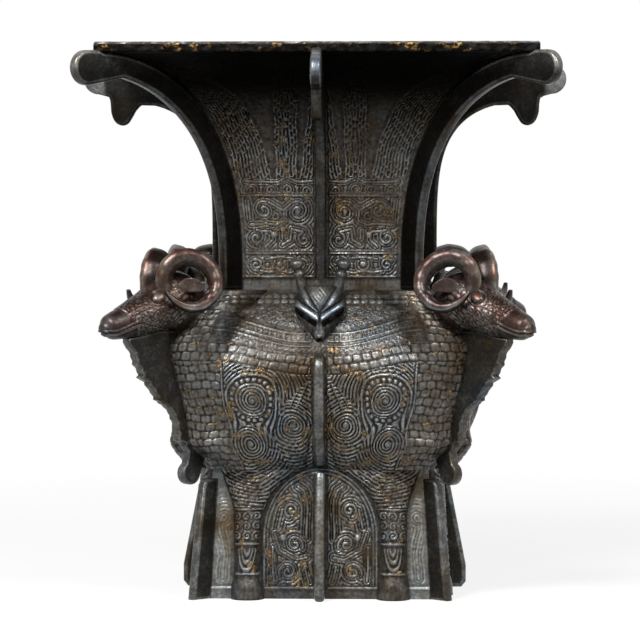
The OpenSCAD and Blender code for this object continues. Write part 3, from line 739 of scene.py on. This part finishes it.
side_outline = concatenate([
    lean, tooth, arc(mouth_hw + 34 - tongue_r, tongue_z, tongue_r, -90, 90, 20),
    [[mouth_hw - 1, flare_z + 5], [mouth_hw - 1, flare_z + 0.8]], root])
cast_flange("neck_side_flange", SIDES, side_outline, edge=3.0, edge_tone=0.6, shade_z=flare_z - 8,
            bare=(mouth_hw + 8, tongue_z))

a = radians(linspace(0, 78, 40))
corner_out = 22
dx, dz = neck_slope(a, root2)
wall_x, wall_up = neck_wall(a)
outer_edge = pairs(root2 * wall_x + corner_out * dz, wall_up - corner_out * dx)
root_r, root_z = neck_wall(linspace(quarter_turn, 0, 60)[1:])
foot_z, tongue_r = shoulder_z + 0.5, 18
corner_outline = concatenate([
    [[root2 * neck_hw - corner_sink, foot_z], [outer_edge[0, 0], foot_z]], outer_edge,
    arc(root2 * mouth_hw + 28 - tongue_r, flare_z - 16, tongue_r, -90, 90, 20),
    [[root2 * mouth_hw - 5, flare_z + 2]], pairs(root_r * root2 - corner_sink, root_z)])
cast_flange("neck_corner_flange", CORNERS, corner_outline, edge=3.2, edge_tone=0.66,
            shade_z=flare_z - 12)

# %% [markdown]
# Below the shoulder there are shorter flanges: one down the middle of each belly, which steps in
# at its foot, one on each chest with a ragged beard under the chin and a curled lug at the bottom,
# and plain tapering ones on the sides and corners of the foot.

# %% Body and foot flanges
def side_edge(z):
    return side_reach((np.asarray(z) - foot_h) / body_h)


def chest_edge(z):
    return body_reach(np.ones(np.shape(z)), np.asarray(z, float)) * root2


def at(s):
    """Height at a share of the body's height."""
    return foot_h + body_h * s


foot_z, step_z, top_z = at(0.02), at(0.19), at(0.655)
belly_outline = concatenate([
    pairs(side_edge(z) + out, z) for z, out in (
        (linspace(foot_z, step_z, 5), 9), (linspace(step_z, top_z - 8, 14), 17),
        (array([top_z]), 11), (linspace(top_z, foot_z, 14), -3.5))])
cast_flange("belly_flange", SIDES, belly_outline, edge=3.3, edge_tone=0.6)

lug_x, beard_out, chest_sink = float(chest_edge(foot_h)) + 28, 38, 5
beard = [(0.1, 8), (0.17, 9), (0.29, 12), (0.36, 19)] + [
    (s, beard_out * k)
    for s, k in ((0.4, 0.8), (0.44, 0.8), (0.5, 1), (0.55, 1.2), (0.66, 1.2), (0.7, 1.4))]
beard = [[chest_edge(at(s)) + out, at(s)] for s, out in beard] + [[280, 272], [280.5, 278]]
x, z, run = even_steps(*array(beard).T, 4)
ragged = 1.7 * np.random.default_rng(2).normal(0, 1, len(x))
x += ragged * smooth(0, 10, run) * smooth(run[-1], run[-1] - 10, run)
chest_z, chin_z = linspace(at(0.74), at(0.08), 20), 285
chest_outline = concatenate([
    [[chest_edge(at(0.06)) - chest_sink, at(0.06)]], arc(lug_x, at(-0.02), 12, 200, 420, 18),
    pairs(x, z), [[260, 281], [238, chin_z], [float(chest_edge(chin_z)) - 3, chin_z]],
    pairs(chest_edge(chest_z) - chest_sink, chest_z)])
cast_flange("chest_flange", CORNERS, chest_outline, edge=1.6, edge_tone=0.58)

top_z = 134
top_x = foot_edge(top_z)
side_foot = [[foot_hw - sink, 0], [foot_hw + 27, 0], [foot_hw + 32, 6], [foot_hw + 32, 24],
             [top_x + 19.8, 126], [top_x + 16, top_z], [top_x - sink, top_z]]
cast_flange("foot_side_flange", SIDES, side_foot, edge=4.0, edge_tone=0.62)
top_z = foot_h * 0.92
base_x, top_x = root2 * foot_hw, root2 * foot_edge(top_z)
corner_foot = [[base_x - chest_sink, 0], [base_x + 20, 0], [top_x + 16, top_z - 6],
               [top_x + 11, top_z], [top_x - chest_sink, top_z]]
cast_flange("foot_corner_flange", CORNERS, corner_foot, edge=2.6, edge_tone=0.6)

# %% [markdown]
# The foot is four slanting panels. Between the legs of two neighbouring rams a panel shows an
# arched field of hooks and scrolls, bordered by two lines along the arch. The narrow fields
# outside the legs carry one worn hook, and a plain band runs along the base.

# %% Foot panels
base_band, foot_high = 13, 1.25
foot_rows, foot_columns = 140, 228


def foot_relief(x, z):
    """Height in mm over a foot panel: x across from its middle, z up."""
    x = abs(x)
    edge = arch_w * (1 - hypot(x / arch_w, maximum(z - arch_z, 0) / arch_h))
    arch = maximum(line(edge - 3, 0.8), line(edge - 6.5, 0.7)) * (z > base_band)
    field = smooth(8.5, 10, edge) * smooth(7, 9, x) * smooth(base_band, base_band + 2, z)
    a, b = waver(x, z)
    paths = [scroll_path(34, 28, 9.5, -30, 560), scroll_path(27, 58, 9, 210, -520),
             [(14, 44), (26, 41), (43, 50), (48, 68)], scroll_path(31, 93, 8, -70, 520),
             [(14, 64), (14, 104), (17, 114), (23, 118)], [(44, 74), (41, 94)],
             [(49, 19), (50, 38), (51, 54)], [(12, 18), (16, 34)]]
    lines = maximum(outlines(a, b, paths), 1.4 * boss(a - 39, b - 64, 3.8))
    outside = smooth(3, 5, x - leg_span(z)[1]) * smooth(8, 11, foot_edge(z) - x)
    outside *= smooth(14, 18, z) * smooth(112, 104, z)
    hook = concatenate([scroll_path(102, 86, 4.5, 0, -400, 1.5)[::-1],
                        [[106.5, 70], [101, 45], [104, 22]]])
    worn = 0.6 * outside * outlines(a, b, [hook], 3.6)
    rule = 0.9 * line(z - 11.5, 0.8) * (x > 7)
    high = foot_high * maximum.reduce([field * lines, arch, worn, rule])
    return high * smooth(0, 2, z) * smooth(0, 2, foot_h - z)


z = linspace(0, foot_h, foot_rows)
points = wall_rows(foot_edge(z), z, foot_columns)
tone = 0.5 + 0.16 * smooth(88, 96, abs(points[..., 0]))
ends = array([0, foot_h])
bm = bmesh.new()
outer = lay_sheet(bm, points, foot_relief(points[..., 0], points[..., 2]), 0.0, tone)
close_between(bm, outer, lay_sheet(bm, wall_rows(foot_edge(ends) - wall, ends, 1)))
cast(bm, "foot_panel", SIDES, "dark_bronze")

# %% [markdown]
# A ram's head is a loft: rings of changing width and height along a line that rises from the chest
# and bends down to the nose. The rings come from ten sections with a smooth curve drawn through
# them. On that skin the features are modelled as relief, placed by the distance along the head and
# by the angle down from its top: a round eye, scales on the cheek, small curls down the brow and a
# pair of lips. The end of the muzzle is left plain. The head sits on a flat seat of the chest.

# %% Ram heads
# Each section: place ahead of the seat and above it, lean in degrees, half width, half height.
head_sections = array([
    [0, 0, 40, 27, 26], [11, 8.5, 28, 29, 29], [24, 12, 6, 29, 29], [38, 6, -11, 27, 25],
    [53, -0.5, -16, 23.5, 22], [70, -6, -18, 19, 19], [85, -10.5, -19, 16, 16.2],
    [97, -13.5, -20, 14.5, 14.2], [105, -15.5, -20, 12.5, 12], [110, -17, -20, 8, 7.5]], float)
head_rings, head_around = 118, 132
nose_rings, nose_l, nose_tilt = 7, 5, radians(25)
eye_run, eye_down = 54, 48


def head_relief(run, down, girth):
    """Height in mm over the head: run along it, down the angle from its top in degrees."""
    ex, ey = run - eye_run, radians(down - eye_down) * girth * 1.1
    r = hypot(ex, ey)
    off_eye = smooth(11, 13, r)
    high = 2.0 * boss(ex, ey, 6.5) - 0.8 * line(r - 7.2, 0.5, 0.9) + 0.8 * line(r - 9.6, 0.7, 0.8)
    a, b = waver(run, radians(down) * girth)
    slant = run + 0.06 * (down - 60)
    patterned = smooth(93, 90, slant) * off_eye
    top = smooth(66, 62, down) * smooth(30, 36, run) * patterned
    cheek = smooth(66, 70, down) * smooth(12, 18, run) * smooth(168, 155, down) * patterned
    fleece = 10, 3.6, 0.62, 1.0
    high += 0.7 * top * curls(b + 5, a, *fleece)
    high += 0.75 * cheek * where(a + 0.3 * b < 62, tiles(a, b, 9.6, 7.6), curls(a, b, *fleece))
    high += 0.8 * line(slant - 92, 0.7) * smooth(98, 88, down)
    lip = radians(down - 98 - 0.6 * (run - 85)) * girth
    mouth = smooth(82, 88, run) * smooth(150, 130, down)
    lips = 0.8 * line(lip + 2.7, 1.0) + 0.7 * line(lip - 2.7, 1.0) - 1.5 * line(lip, 0.5, 0.9)
    high += mouth * lips
    return high * smooth(2, 8, run)


last = len(head_sections) - 1
places = concatenate([linspace(0, last, head_rings), np.full(nose_rings, float(last))])
section = through(head_sections, places)
ahead, above, lean, half_w, half_h = (column[:, None] for column in section.T)
nose = linspace(0.2, 1.53, nose_rings)
close_in = concatenate([np.ones(head_rings), cos(nose)])[:, None]
push = concatenate([np.zeros(head_rings), nose_l * sin(nose)])[:, None]
w = radians(linspace(90, 450, head_around + 1))[None, :-1]
across = half_w * close_in * cos(w)
upward = half_h * close_in * sin(w) * (1 + 0.05 * sin(2 * w - quarter_turn))
lean = radians(lean)
points = stack([seat_r + ahead - upward * sin(lean) + push * cos(nose_tilt), across,
                seat_z + above + upward * cos(lean) - push * sin(nose_tilt)], 2)
run = length_run(ahead[:, 0], above[:, 0])[:, None] + push
down = np.degrees(np.arccos(clip(sin(w), -1, 1)))
run, down, girth = np.broadcast_arrays(run, down, 0.5 * (half_w + half_h) * close_in)
high = head_relief(run, down, girth)
wrapped = concatenate([points[:, -1:], points, points[:, :1]], 1)
points = points + sheet_normals(wrapped)[:, 1:-1] * high[..., None]
head_tone = clip(0.5 + 0.5 * (high - local_mean(high)), 0, 0.62)


def lay_tube(bm, rings, tone):
    """Closed tube through rings of points: a sheet with its long edges merged, and flat ends."""
    tone = np.broadcast_to(tone, rings.shape[:2])
    rings, tone = (concatenate([v, v[:, :1]], 1) for v in (rings, tone))
    grid = lay_sheet(bm, rings, plain=tone)
    ends = [grid[0][:-1], grid[-1][:-1]]
    bmesh.ops.weld_verts(bm, targetmap={row[-1]: row[0] for row in grid})
    for end in ends:
        bm.faces.new(end)


def ear_points(side):
    """Leaf of an ear, thick at its root, that points back inside the curl of the horn."""
    circle = radians(linspace(0, 360, 24, endpoint=False))
    u, a = np.meshgrid(linspace(0, 1, 24), circle, indexing="ij")
    along = stack([28 - 17 * u, side * (20 + 23 * u), 25 + 3 * sin(pi * u)], 2)
    wide = 7.5 * sqrt(clip(sin(pi * (0.16 + 0.82 * u)), 0, 1))
    thick, cup = 2.6 - 1.8 * u, 2.2 * sin(pi * u)
    off = thick * sin(a) + cup * cos(a) ** 2
    return along + stack([off * 0.78, side * off * 0.62, wide * cos(a)], 2) + [seat_r, 0, seat_z]


bm = bmesh.new()
lay_tube(bm, points, head_tone)
for side in (-1, 1):
    lay_tube(bm, ear_points(side), 0.5)
bmesh.ops.rotate(bm, verts=bm.verts, matrix=turn_z(-45))
cast(bm, "ram_head", CORNERS, "worn_bronze")

# %% [markdown]
# The horns curl once round the ears and end in front of them, near the eyes. A horn is a tube
# along a spiral. Its flat oval section has a keel on the outer edge, as a real ram's horn has.
# Rings of points are set square to the spiral, and shallow rings of growth make the surface
# lively.

# %% Ram horns
horn_x, horn_z = seat_r + 18.5, seat_z + 33
horn_deep, horn_wide, keel_angle, keel_w = 8.8, 13, 1.0, 0.28


def curl(b, side):
    """Centre line of a horn at angle b of its curl."""
    radius = 21 + 20 * clip((b - 240) / 105, 0, 1) ** 1.3
    f = radius * cos(radians(b))
    spread = 22 - 0.5 * f + 28 * smooth(60, 345, b)
    return stack([horn_x + cos(radians(30)) * f, side * spread,
                  horn_z + radius * sin(radians(b))], -1)


def unit(v):
    return v / np.linalg.norm(v, axis=1, keepdims=True)


def horn_points(side, rings=160, around=32):
    """Rings of points along a horn, and the tone of each point."""
    u = linspace(0, 1, rings)
    b = mix(-50, 345, u)
    centre = curl(b, side)
    along = unit(curl(b + 1, side) - curl(b - 1, side))
    outward = centre - [horn_x, side * 34, horn_z]
    outward = unit(outward - (outward * along).sum(1, keepdims=True) * along)
    lateral = np.cross(along, outward) * side
    a = linspace(0, 2 * pi, around, endpoint=False)[None, :]
    taper = (1.03 - 0.18 * u - 0.66 * u**6)[:, None]
    growth = (0.22 * sin(b / 4.6) * smooth(1, 0.75, u))[:, None]
    r = 1 / sqrt((cos(a) / (horn_deep * taper)) ** 2 + (sin(a) / (horn_wide * taper)) ** 2)
    keel = 0.14 * np.exp(-(((a - keel_angle + pi) % (2 * pi) - pi) / keel_w) ** 2)
    r = r * (1 + keel) + growth
    centre = centre + 2.2 * taper * outward
    spokes = cos(a)[..., None] * outward[:, None] + sin(a)[..., None] * lateral[:, None]
    # The tone paints a highlight along the keel; the inside of the curl is a little lighter.
    return centre[:, None] + r[..., None] * spokes, clip(0.49 + 2.2 * keel - 0.12 * cos(a), 0, 1)


for side, name in ((1, "l"), (-1, "r")):
    bm = bmesh.new()
    lay_tube(bm, *horn_points(side))
    bmesh.ops.rotate(bm, verts=bm.verts, matrix=turn_z(-45))
    cast(bm, "ram_horn", CORNERS, "worn_bronze", suffix=name)

# %% [markdown]
# On the shoulder, in the middle of each side, sits a small beast's head with two stalked horns
# that end in round knobs. It was cast on its own, and a rivet through the shoulder holds it. The
# mask is a half tube over seven sections, with skirts that reach down into the shoulder's wall.
# Heavy lids that slope to the middle, dark hollows for the eyes and a brow with a lozenge are
# relief, placed in the mask's front view; the eye hollows also carry painted shade under the lids.
# The knobs are turned: a profile is spun round its axis.

# %% Beast heads
beast_w, beast_out, eye_slope = 27, 20, 0.62
beast_rows, beast_columns = 84, 81
lift_out, lift_up, rise_out, rise_up = 0.74, 0.67, 0.743, 0.669
# Each section: share of the body's height, lift off the shoulder, half width, height of the tube.
beast_sections = array([
    [1.0, 0.2, 0.6, 0.45], [0.965, 0.3, 0.84, 0.85], [0.925, 0.2, 0.95, 1], [0.87, 0.16, 1, 0.95],
    [0.82, 0.12, 0.7, 0.85], [0.76, 0.1, 0.38, 0.6], [0.715, 0.06, 0.12, 0.3]])


def ridge(distance, half):
    """Round bar of half a width, seen in section."""
    return sqrt(clip(1 - (distance / half) ** 2, 0, 1))


def mask_relief(x, z):
    """Height in mm over the mask in its front view, and the painted shade of its eye hollows."""
    x = abs(x)
    fall = z - (296 + eye_slope * x)
    lid = ridge(fall - 1.5, 4.6) * smooth(30, 26, x) * smooth(0, 3, x)
    hollow = (smooth(-1.5, -3.5, fall) * smooth(-10.5, -7.5, fall)
              * smooth(2.5, 5, x) * smooth(27, 23, x))
    eye = boss(x - 12.5, (z - 298.5) * 1.5, 5)
    plate = smooth(5, 8, fall)
    fluke = ridge(x - 3 - eye_slope * (z - 300), 5) * plate
    diamond = x + 0.8 * abs(z - 321)
    lozenge = (line(diamond - 6, 0.6) + line(diamond - 2.6, 0.6)) * plate
    snout = boss(x, (z - 282) * 0.45, 5.5)
    nostril = boss(x - 5.2, (z - 287) * 0.8, 2.4)
    high = (4.6 * (lid - hollow) + 3 * eye * hollow + 2.6 * fluke + 0.7 * lozenge
            + 2.2 * snout - 1.5 * nostril)
    # Painted shade in the eye hollows under the lids, less on the eyeballs.
    return high, 0.9 * hollow * (1 - 0.6 * eye)


share, lift, half_w, half_h = through(beast_sections, linspace(0, 6, beast_rows)).T[..., None]
lift = lift * beast_out
w = radians(linspace(180, 0, beast_columns))[None, :]
rise = half_h * beast_out * sin(w) ** 0.8
x = half_w * beast_w * cos(w)
reach = side_edge(clip(at(share), foot_h, shoulder_z)) + lift * lift_out
points = stack([x, -(reach + rise * rise_out), at(share) + lift * lift_up + rise * rise_up], 2)
high, dark = mask_relief(x, points[..., 2])
down = linspace(0, 1, beast_rows)[:, None]
high = high * sin(w) ** 0.5 * smooth(0, 0.06, down) * smooth(1, 0.94, down)
points = points + sheet_normals(points) * high[..., None]
dip = smooth(24, 0, np.arange(beast_rows))[:, None] * np.exp(-(x / 12) ** 2)
points = points + dip[..., None] * [0, 3, -9]


def sunk(edge):
    """Edge points set into the shoulder below them."""
    z = clip(edge[..., 2] - 2, at(0.6), shoulder_z)
    t = abs(edge[..., 0]) / side_edge(z)
    return stack([edge[..., 0], -(body_reach(t, z) - sink), z], -1)


skirt = concatenate([sunk(points[:, :1]), points, sunk(points[:, -1:])], 1)
skirt = concatenate([sunk(skirt[:1]), skirt, sunk(skirt[-1:])], 0)
tone = clip(0.52 + 0.14 * (high - local_mean(high, 7)), 0, 1)
bm = bmesh.new()
dark, tone = np.pad(dark, 1), np.pad(tone, 1, mode="edge")
top, bottom, left, right = border(lay_sheet(bm, skirt, None, dark, tone))
bm.faces.new(top + right[1:] + bottom[-2::-1] + left[-2:0:-1])


spin_steps, turned_tone = 28, 0.58


def turned(bm, profile, start, end):
    """Spins a profile of (radius, share of the length) round the line from start to end."""
    kept = set(bm.verts)
    start, end = Vector(start) * MM, Vector(end) * MM
    length = (end - start).length
    rubbed = bm.verts.layers.float["relief"]
    dots = [bm.verts.new((r * MM, 0, u * length)) for r, u in profile]
    edges = [bm.edges.new(pair) for pair in zip(dots, dots[1:])]
    bmesh.ops.spin(bm, geom=dots + edges, axis=(0, 0, 1), cent=(0, 0, 0), angle=2 * pi,
                   steps=spin_steps, use_merge=True)
    bmesh.ops.remove_doubles(bm, verts=[v for v in bm.verts if v not in kept], dist=1e-6)
    verts = [v for v in bm.verts if v not in kept]
    turn = Vector((0, 0, 1)).rotation_difference(end - start).to_matrix()
    bmesh.ops.rotate(bm, verts=verts, matrix=turn)
    bmesh.ops.translate(bm, verts=verts, vec=start)
    for v in verts:
        v[rubbed] = turned_tone


axis_r, knob_r = 0.01, 8
knob = [(knob_r * cos(a), 1 + 0.2 * sin(a)) for a in radians(linspace(-52, 90, 14))]
knob[-1] = (axis_r, knob[-1][1])
stalk = [(axis_r, 0), (7.5, 0.0), (6.2, 0.2), (5.2, 0.42), (5.0, 0.54), (6.2, 0.6), (6.4, 0.66),
         (6.0, 0.71), (4.6, 0.75)]
for side in (-1, 1):
    turned(bm, stalk + knob, (side * 17, -(side_edge(at(0.965)) + 8), at(0.965) + 4),
           (side * 25, -(side_edge(at(0.98)) + 18), at(0.98) + 31.5))
cast(bm, "beast_head", SIDES, "flange_bronze")

# %% [markdown]
# Two pieces show only from above, through the mouth: the floor of the bowl and the heads of the
# four rivets. The floor is a plate with the soft waves of a casting, and the rivets are turned
# domes.

# %% Floor and rivets
low, top = (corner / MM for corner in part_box("vessel_floor"))
half_floor = -low.y


def floor_sheet(count, z):
    u = linspace(-half_floor, half_floor, count)
    x, y = np.meshgrid(u, u)
    return stack([x, y, np.full(x.shape, z)], 2)


points = floor_sheet(60, top.z - 0.3)
x, y = points[..., 0], points[..., 1]
from_edge = half_floor - abs(points[..., :2]).max(axis=2)
points[..., 2] += 0.25 * sin(x / 23) * sin(y / 19) * smooth(0, 12, from_edge)
bm = bmesh.new()
close_between(bm, lay_sheet(bm, points), lay_sheet(bm, floor_sheet(2, low.z)))
cast(bm, "vessel_floor", ALONE, "dark_bronze")

rivet_z, tilt = at(0.88), radians(42)
out_dir = array([0, -cos(tilt), sin(tilt)])
base = array([0, -float(side_edge(rivet_z)), rivet_z])
inner_end = wall * cos(tilt) + 3.8
dome = [(axis_r, 0), (4, 0.004), (7, 0.06), (8.6, 0.14), (9, 0.2), (9, 0.24), (5, 0.26),
        (5, 0.98), (axis_r, 1)]
bm = bmesh.new()
tone_layers(bm)
turned(bm, dome, base - out_dir * inner_end, base + out_dir * 9.4)
quarter = bm.verts[:] + bm.edges[:] + bm.faces[:]
for angle in (90, 180, 270):
    made = bmesh.ops.duplicate(bm, geom=quarter)["geom"]
    verts = [v for v in made if isinstance(v, bmesh.types.BMVert)]
    bmesh.ops.rotate(bm, verts=verts, matrix=turn_z(angle))
cast(bm, "beast_rivets", ALONE, "dark_bronze")

# %% [markdown]
# The metal is cast bronze with a smooth dark patina, nearly black in the hollows and rubbed to a
# blue grey on the ridges. Patina is a thin mineral skin over metal, so the shader is partly
# metallic and fairly rough. Colour follows the "relief" attribute through a colour ramp. Fine grit
# and spots mottle it, large soft clouds move it between brown and grey, and crumbs of golden earth
# stay in some hollows.

# %% Colours and nodes
def linear(hex_code):
    """sRGB hex colour as linear red, green, blue and alpha."""
    c = [int(hex_code[i:i + 2], 16) / 255 for i in (1, 3, 5)]
    return [v / 12.92 if v <= 0.04045 else ((v + 0.055) / 1.055) ** 2.4 for v in c] + [1]


def add(tree, kind, settings=None, links=None, out=0):
    """Adds a node, sets its stops, properties and sockets, links sources in; returns one output."""
    node = tree.nodes.new("ShaderNode" + kind)
    for key, value in (settings or {}).items():
        if key == "stops":
            elements = node.color_ramp.elements
            while len(elements) < len(value):
                elements.new(1)
            for element, (place, colour) in zip(elements, value):
                element.position, element.color = place, linear(colour)
        elif isinstance(key, int) or key in node.inputs:
            node.inputs[key].default_value = value
        else:
            setattr(node, key, value)
    for key, source in (links or {}).items():
        tree.links.new(source, node.inputs[key])
    return node.outputs[out] if node.outputs else node


def empty_tree(block):
    """Node tree of a material or world, without its first nodes."""
    block.use_nodes = True
    block.node_tree.nodes.clear()
    return block.node_tree


# %% Bronze
# Sizes of the patterns in metres. Real grit is finer than 3 mm, but would be lost at this distance.
grit_size, spot_size, cloud_size = 0.003, 0.014, 0.06
clouds = [(0.3, "#b9c6d2"), (0.45, "#f2f2f0"), (0.55, "#efe9df"), (0.7, "#b79a74")]
golden_earth, shade_and_blotch_black = linear("#9a7844"), linear("#0b0806")


def bronze(name, stops, earth_share, rough, metallic, under=None, wax=0.0):
    """Patinated cast bronze; stops colour it from hollow to ridge, under where it faces down."""
    material = bpy.data.materials.new(name)
    tree = empty_tree(material)
    place = add(tree, "TexCoord", out="Object")
    relief, soot = (add(tree, "Attribute", {"attribute_name": n}, out="Fac")
                    for n in ("relief", "soot"))
    grit, cloud, spots = (
        add(tree, "TexNoise", {"Scale": 1 / size, "Detail": detail}, {"Vector": place})
        for size, detail in ((grit_size, 3), (cloud_size, 3), (spot_size, 5)))

    grain = add(tree, "Math", {"operation": "MULTIPLY_ADD", 1: 0.3, 2: 0.02}, {0: grit})
    mottle = add(tree, "Math", {"operation": "MULTIPLY_ADD", 1: -0.34}, {0: spots, 2: grain})
    level = add(tree, "Math", {"operation": "ADD"}, {0: relief, 1: mottle})
    skin = add(tree, "ValToRGB", {"stops": stops}, {"Fac": level})
    if under:
        shade = add(tree, "ValToRGB", {"stops": under}, {"Fac": level})
        normal = add(tree, "NewGeometry", out="Normal")
        facing = add(tree, "SeparateXYZ", links={0: normal}, out="Z")
        upward = {"From Min": -0.7, "From Max": 0.3, "To Min": 0.1}
        lit = add(tree, "MapRange", upward, {"Value": facing})
        spotted = {"From Min": 0.4, "From Max": 0.55, "To Min": 0.5}
        handled = add(tree, "MapRange", spotted, {"Value": spots})
        ruddy = add(tree, "Math", {"operation": "MULTIPLY"}, {0: lit, 1: handled})
        skin = add(tree, "Mix", {"data_type": "RGBA"}, {0: ruddy, 6: shade, 7: skin}, out=2)
    hue = add(tree, "ValToRGB", {"stops": clouds}, {"Fac": cloud})
    tint = {"data_type": "RGBA", "blend_type": "MULTIPLY", 0: 1.0}
    clouded = add(tree, "Mix", tint, {6: skin, 7: hue}, out=2)
    earth = add(tree, "MapRange", {"From Min": 0.46, "From Max": 0.3}, {"Value": level})
    patch = {"From Min": 0.56, "From Max": 0.64, "To Max": earth_share}
    crumbs = {"From Min": 0.42, "From Max": 0.56}
    for spread, pattern in ((patch, spots), (crumbs, grit)):
        caught = add(tree, "MapRange", spread, {"Value": pattern})
        earth = add(tree, "Math", {"operation": "MULTIPLY"}, {0: earth, 1: caught})
    colour = clouded
    # Golden earth is dirt in the hollows; the black layer is painted shade, and dark blotches on the
    # rim.
    for layer, share in ((golden_earth, earth), (shade_and_blotch_black, soot)):
        colour = add(tree, "Mix", {"data_type": "RGBA", 7: layer}, {0: share, 6: colour}, out=2)

    dull = {"From Min": 0.2, "From Max": 0.9, "To Min": rough + 0.18, "To Max": rough}
    gloss = add(tree, "MapRange", dull, {"Value": level})
    waves = add(tree, "Bump", {"Strength": 0.3, "Distance": 0.002}, {"Height": spots})
    pitted = {"Strength": 0.3, "Distance": 0.0005}
    pits = add(tree, "Bump", pitted, {"Height": grit, "Normal": waves})
    # Metallic rises with the painted shade, so that reflections there are darkened too.
    bare = add(tree, "MapRange", {"To Min": metallic}, {"Value": soot})
    surface = {"Specular IOR Level": 0.3, "Coat Weight": wax, "Coat Roughness": 0.3}
    shader = add(tree, "BsdfPrincipled", surface,
                 {"Base Color": colour, "Roughness": gloss, "Metallic": bare, "Normal": pits})
    add(tree, "OutputMaterial", links={"Surface": shader})
    return material


# Grey metal that turns black in its hollows, and light blue grey where it is rubbed.
dark_stops = [(0.15, "#0b0907"), (0.36, "#171411"), (0.5, "#403d3a"), (0.64, "#5e5e5c"),
              (0.8, "#808589"), (1.0, "#a9b1b8")]
# Warm red brown with a waxy sheen, as much handled bronze has.
worn_stops = [(0.1, "#0a0605"), (0.36, "#190e0b"), (0.5, "#331d17"), (0.64, "#4e332a"),
              (0.8, "#77604f"), (1.0, "#a2978c")]
# Nearly black faces and steel grey edges.
edge_stops = [(0.15, "#0d0c0b"), (0.42, "#232221"), (0.58, "#454543"), (0.8, "#868a8e"),
              (1.0, "#b6bbc0")]
finishes = {
    "dark_bronze": bronze("bronze_dark_patina", dark_stops, earth_share=0.9, rough=0.28,
                          metallic=0.55),
    "worn_bronze": bronze("bronze_handled_reddish", worn_stops, earth_share=0.1, rough=0.27,
                          metallic=0.7, under=dark_stops, wax=0.18),
    "flange_bronze": bronze("bronze_flange_rubbed", edge_stops, earth_share=0.1, rough=0.28,
                            metallic=0.6),
}
coats = [(bpy.data.objects[name], slot) for name, slot in finish_of.items()]
for part in frame["record"]["subparts"]:
    coats.append((frame["nodes"][part["node"]], part["material_slot"]))
for piece, slot in coats:
    piece.data.materials.clear()
    piece.data.materials.append(finishes[slot])
print("finishes:", {m.name: len(m.node_tree.nodes) for m in finishes.values()})

# %% [markdown]
# The photograph shows the vessel alone on white, seen from the front by a camera a few metres
# away. The floor is pale and keeps a soft shadow. The world is white to the camera and in
# reflections, and a plain grey as a source of light. Two lamps above the front, the left one
# stronger, give the light from above; the underside of the rim is left dark by them and by the
# painted shade there.

# %% Floor and world
floor_half = 8
bm = bmesh.new()
bmesh.ops.create_grid(bm, x_segments=1, y_segments=1, size=floor_half)
mesh = bpy.data.meshes.new("studio_floor")
bm.to_mesh(mesh)
bm.free()
floor = put("studio_floor", mesh)


def seen_rays(tree):
    """1 for rays from the camera, in reflections or through glass, 0 for light on a surface."""
    paths = add(tree, "LightPath").node.outputs
    seen = paths["Is Camera Ray"]
    for kind in ("Is Glossy Ray", "Is Transmission Ray"):
        seen = add(tree, "Math", {"operation": "MAXIMUM"}, {0: seen, 1: paths[kind]})
    return seen


paper = bpy.data.materials.new("white_paper")
tree = empty_tree(paper)
matt = add(tree, "BsdfDiffuse", {"Color": linear("#e6e6e4")})
bright = add(tree, "Emission", {"Color": linear("#ffffff"), "Strength": 1.0})
place = add(tree, "TexCoord", out="Object")
far = add(tree, "VectorMath", {"operation": "LENGTH"}, {0: place}, out="Value")
white = add(tree, "MapRange", {"From Min": 0.4, "From Max": 1.6, "To Min": 0.8}, {"Value": far})
share = add(tree, "Math", {"operation": "MULTIPLY"}, {0: seen_rays(tree), 1: white})
seen = add(tree, "MixShader", links={0: share, 1: matt, 2: bright})
add(tree, "OutputMaterial", links={"Surface": seen})
floor.data.materials.append(paper)

world = bpy.data.worlds.new("studio")
bpy.context.scene.world = world
tree = empty_tree(world)
level = add(tree, "MapRange", {"To Min": 0.2, "To Max": 1.0}, {"Value": seen_rays(tree)})
sky = add(tree, "Background", {"Color": linear("#ffffff")}, {"Strength": level})
add(tree, "OutputWorld", links={"Surface": sky})


# %% Lamps and camera
def aim(thing, place, target):
    """Puts a lamp or camera at a place and turns it to a target."""
    thing.location = place
    thing.rotation_euler = (Vector(target) - Vector(place)).to_track_quat("-Z", "Y").to_euler()


lamps = {"lamp_above_left": (115, (-0.8, -1.9, 2.1)), "lamp_above_right": (48, (1.2, -1.6, 2.0))}
lamp_size, lamp_target = 0.8, (0, 0, 0.3)
for name, (power, place) in lamps.items():
    lamp = bpy.data.lights.new(name, "AREA")
    lamp.size, lamp.energy = lamp_size, power
    aim(put(name, lamp), place, lamp_target)

distance, eye_height, aim_height, shift = 3.7, 0.421, 0.2905, -0.005
turn, focal_px, photo_px = radians(2.2), 3400, 640
camera = bpy.data.cameras.new("photo_camera")
camera.sensor_width = 36
camera.lens = camera.sensor_width * focal_px / photo_px
eye = put("photo_camera", camera)
aim(eye, (distance * sin(turn) + shift, -distance * cos(turn), eye_height), (shift, 0, aim_height))
bpy.context.scene.camera = eye
bpy.context.scene.view_settings.view_transform = "Standard"
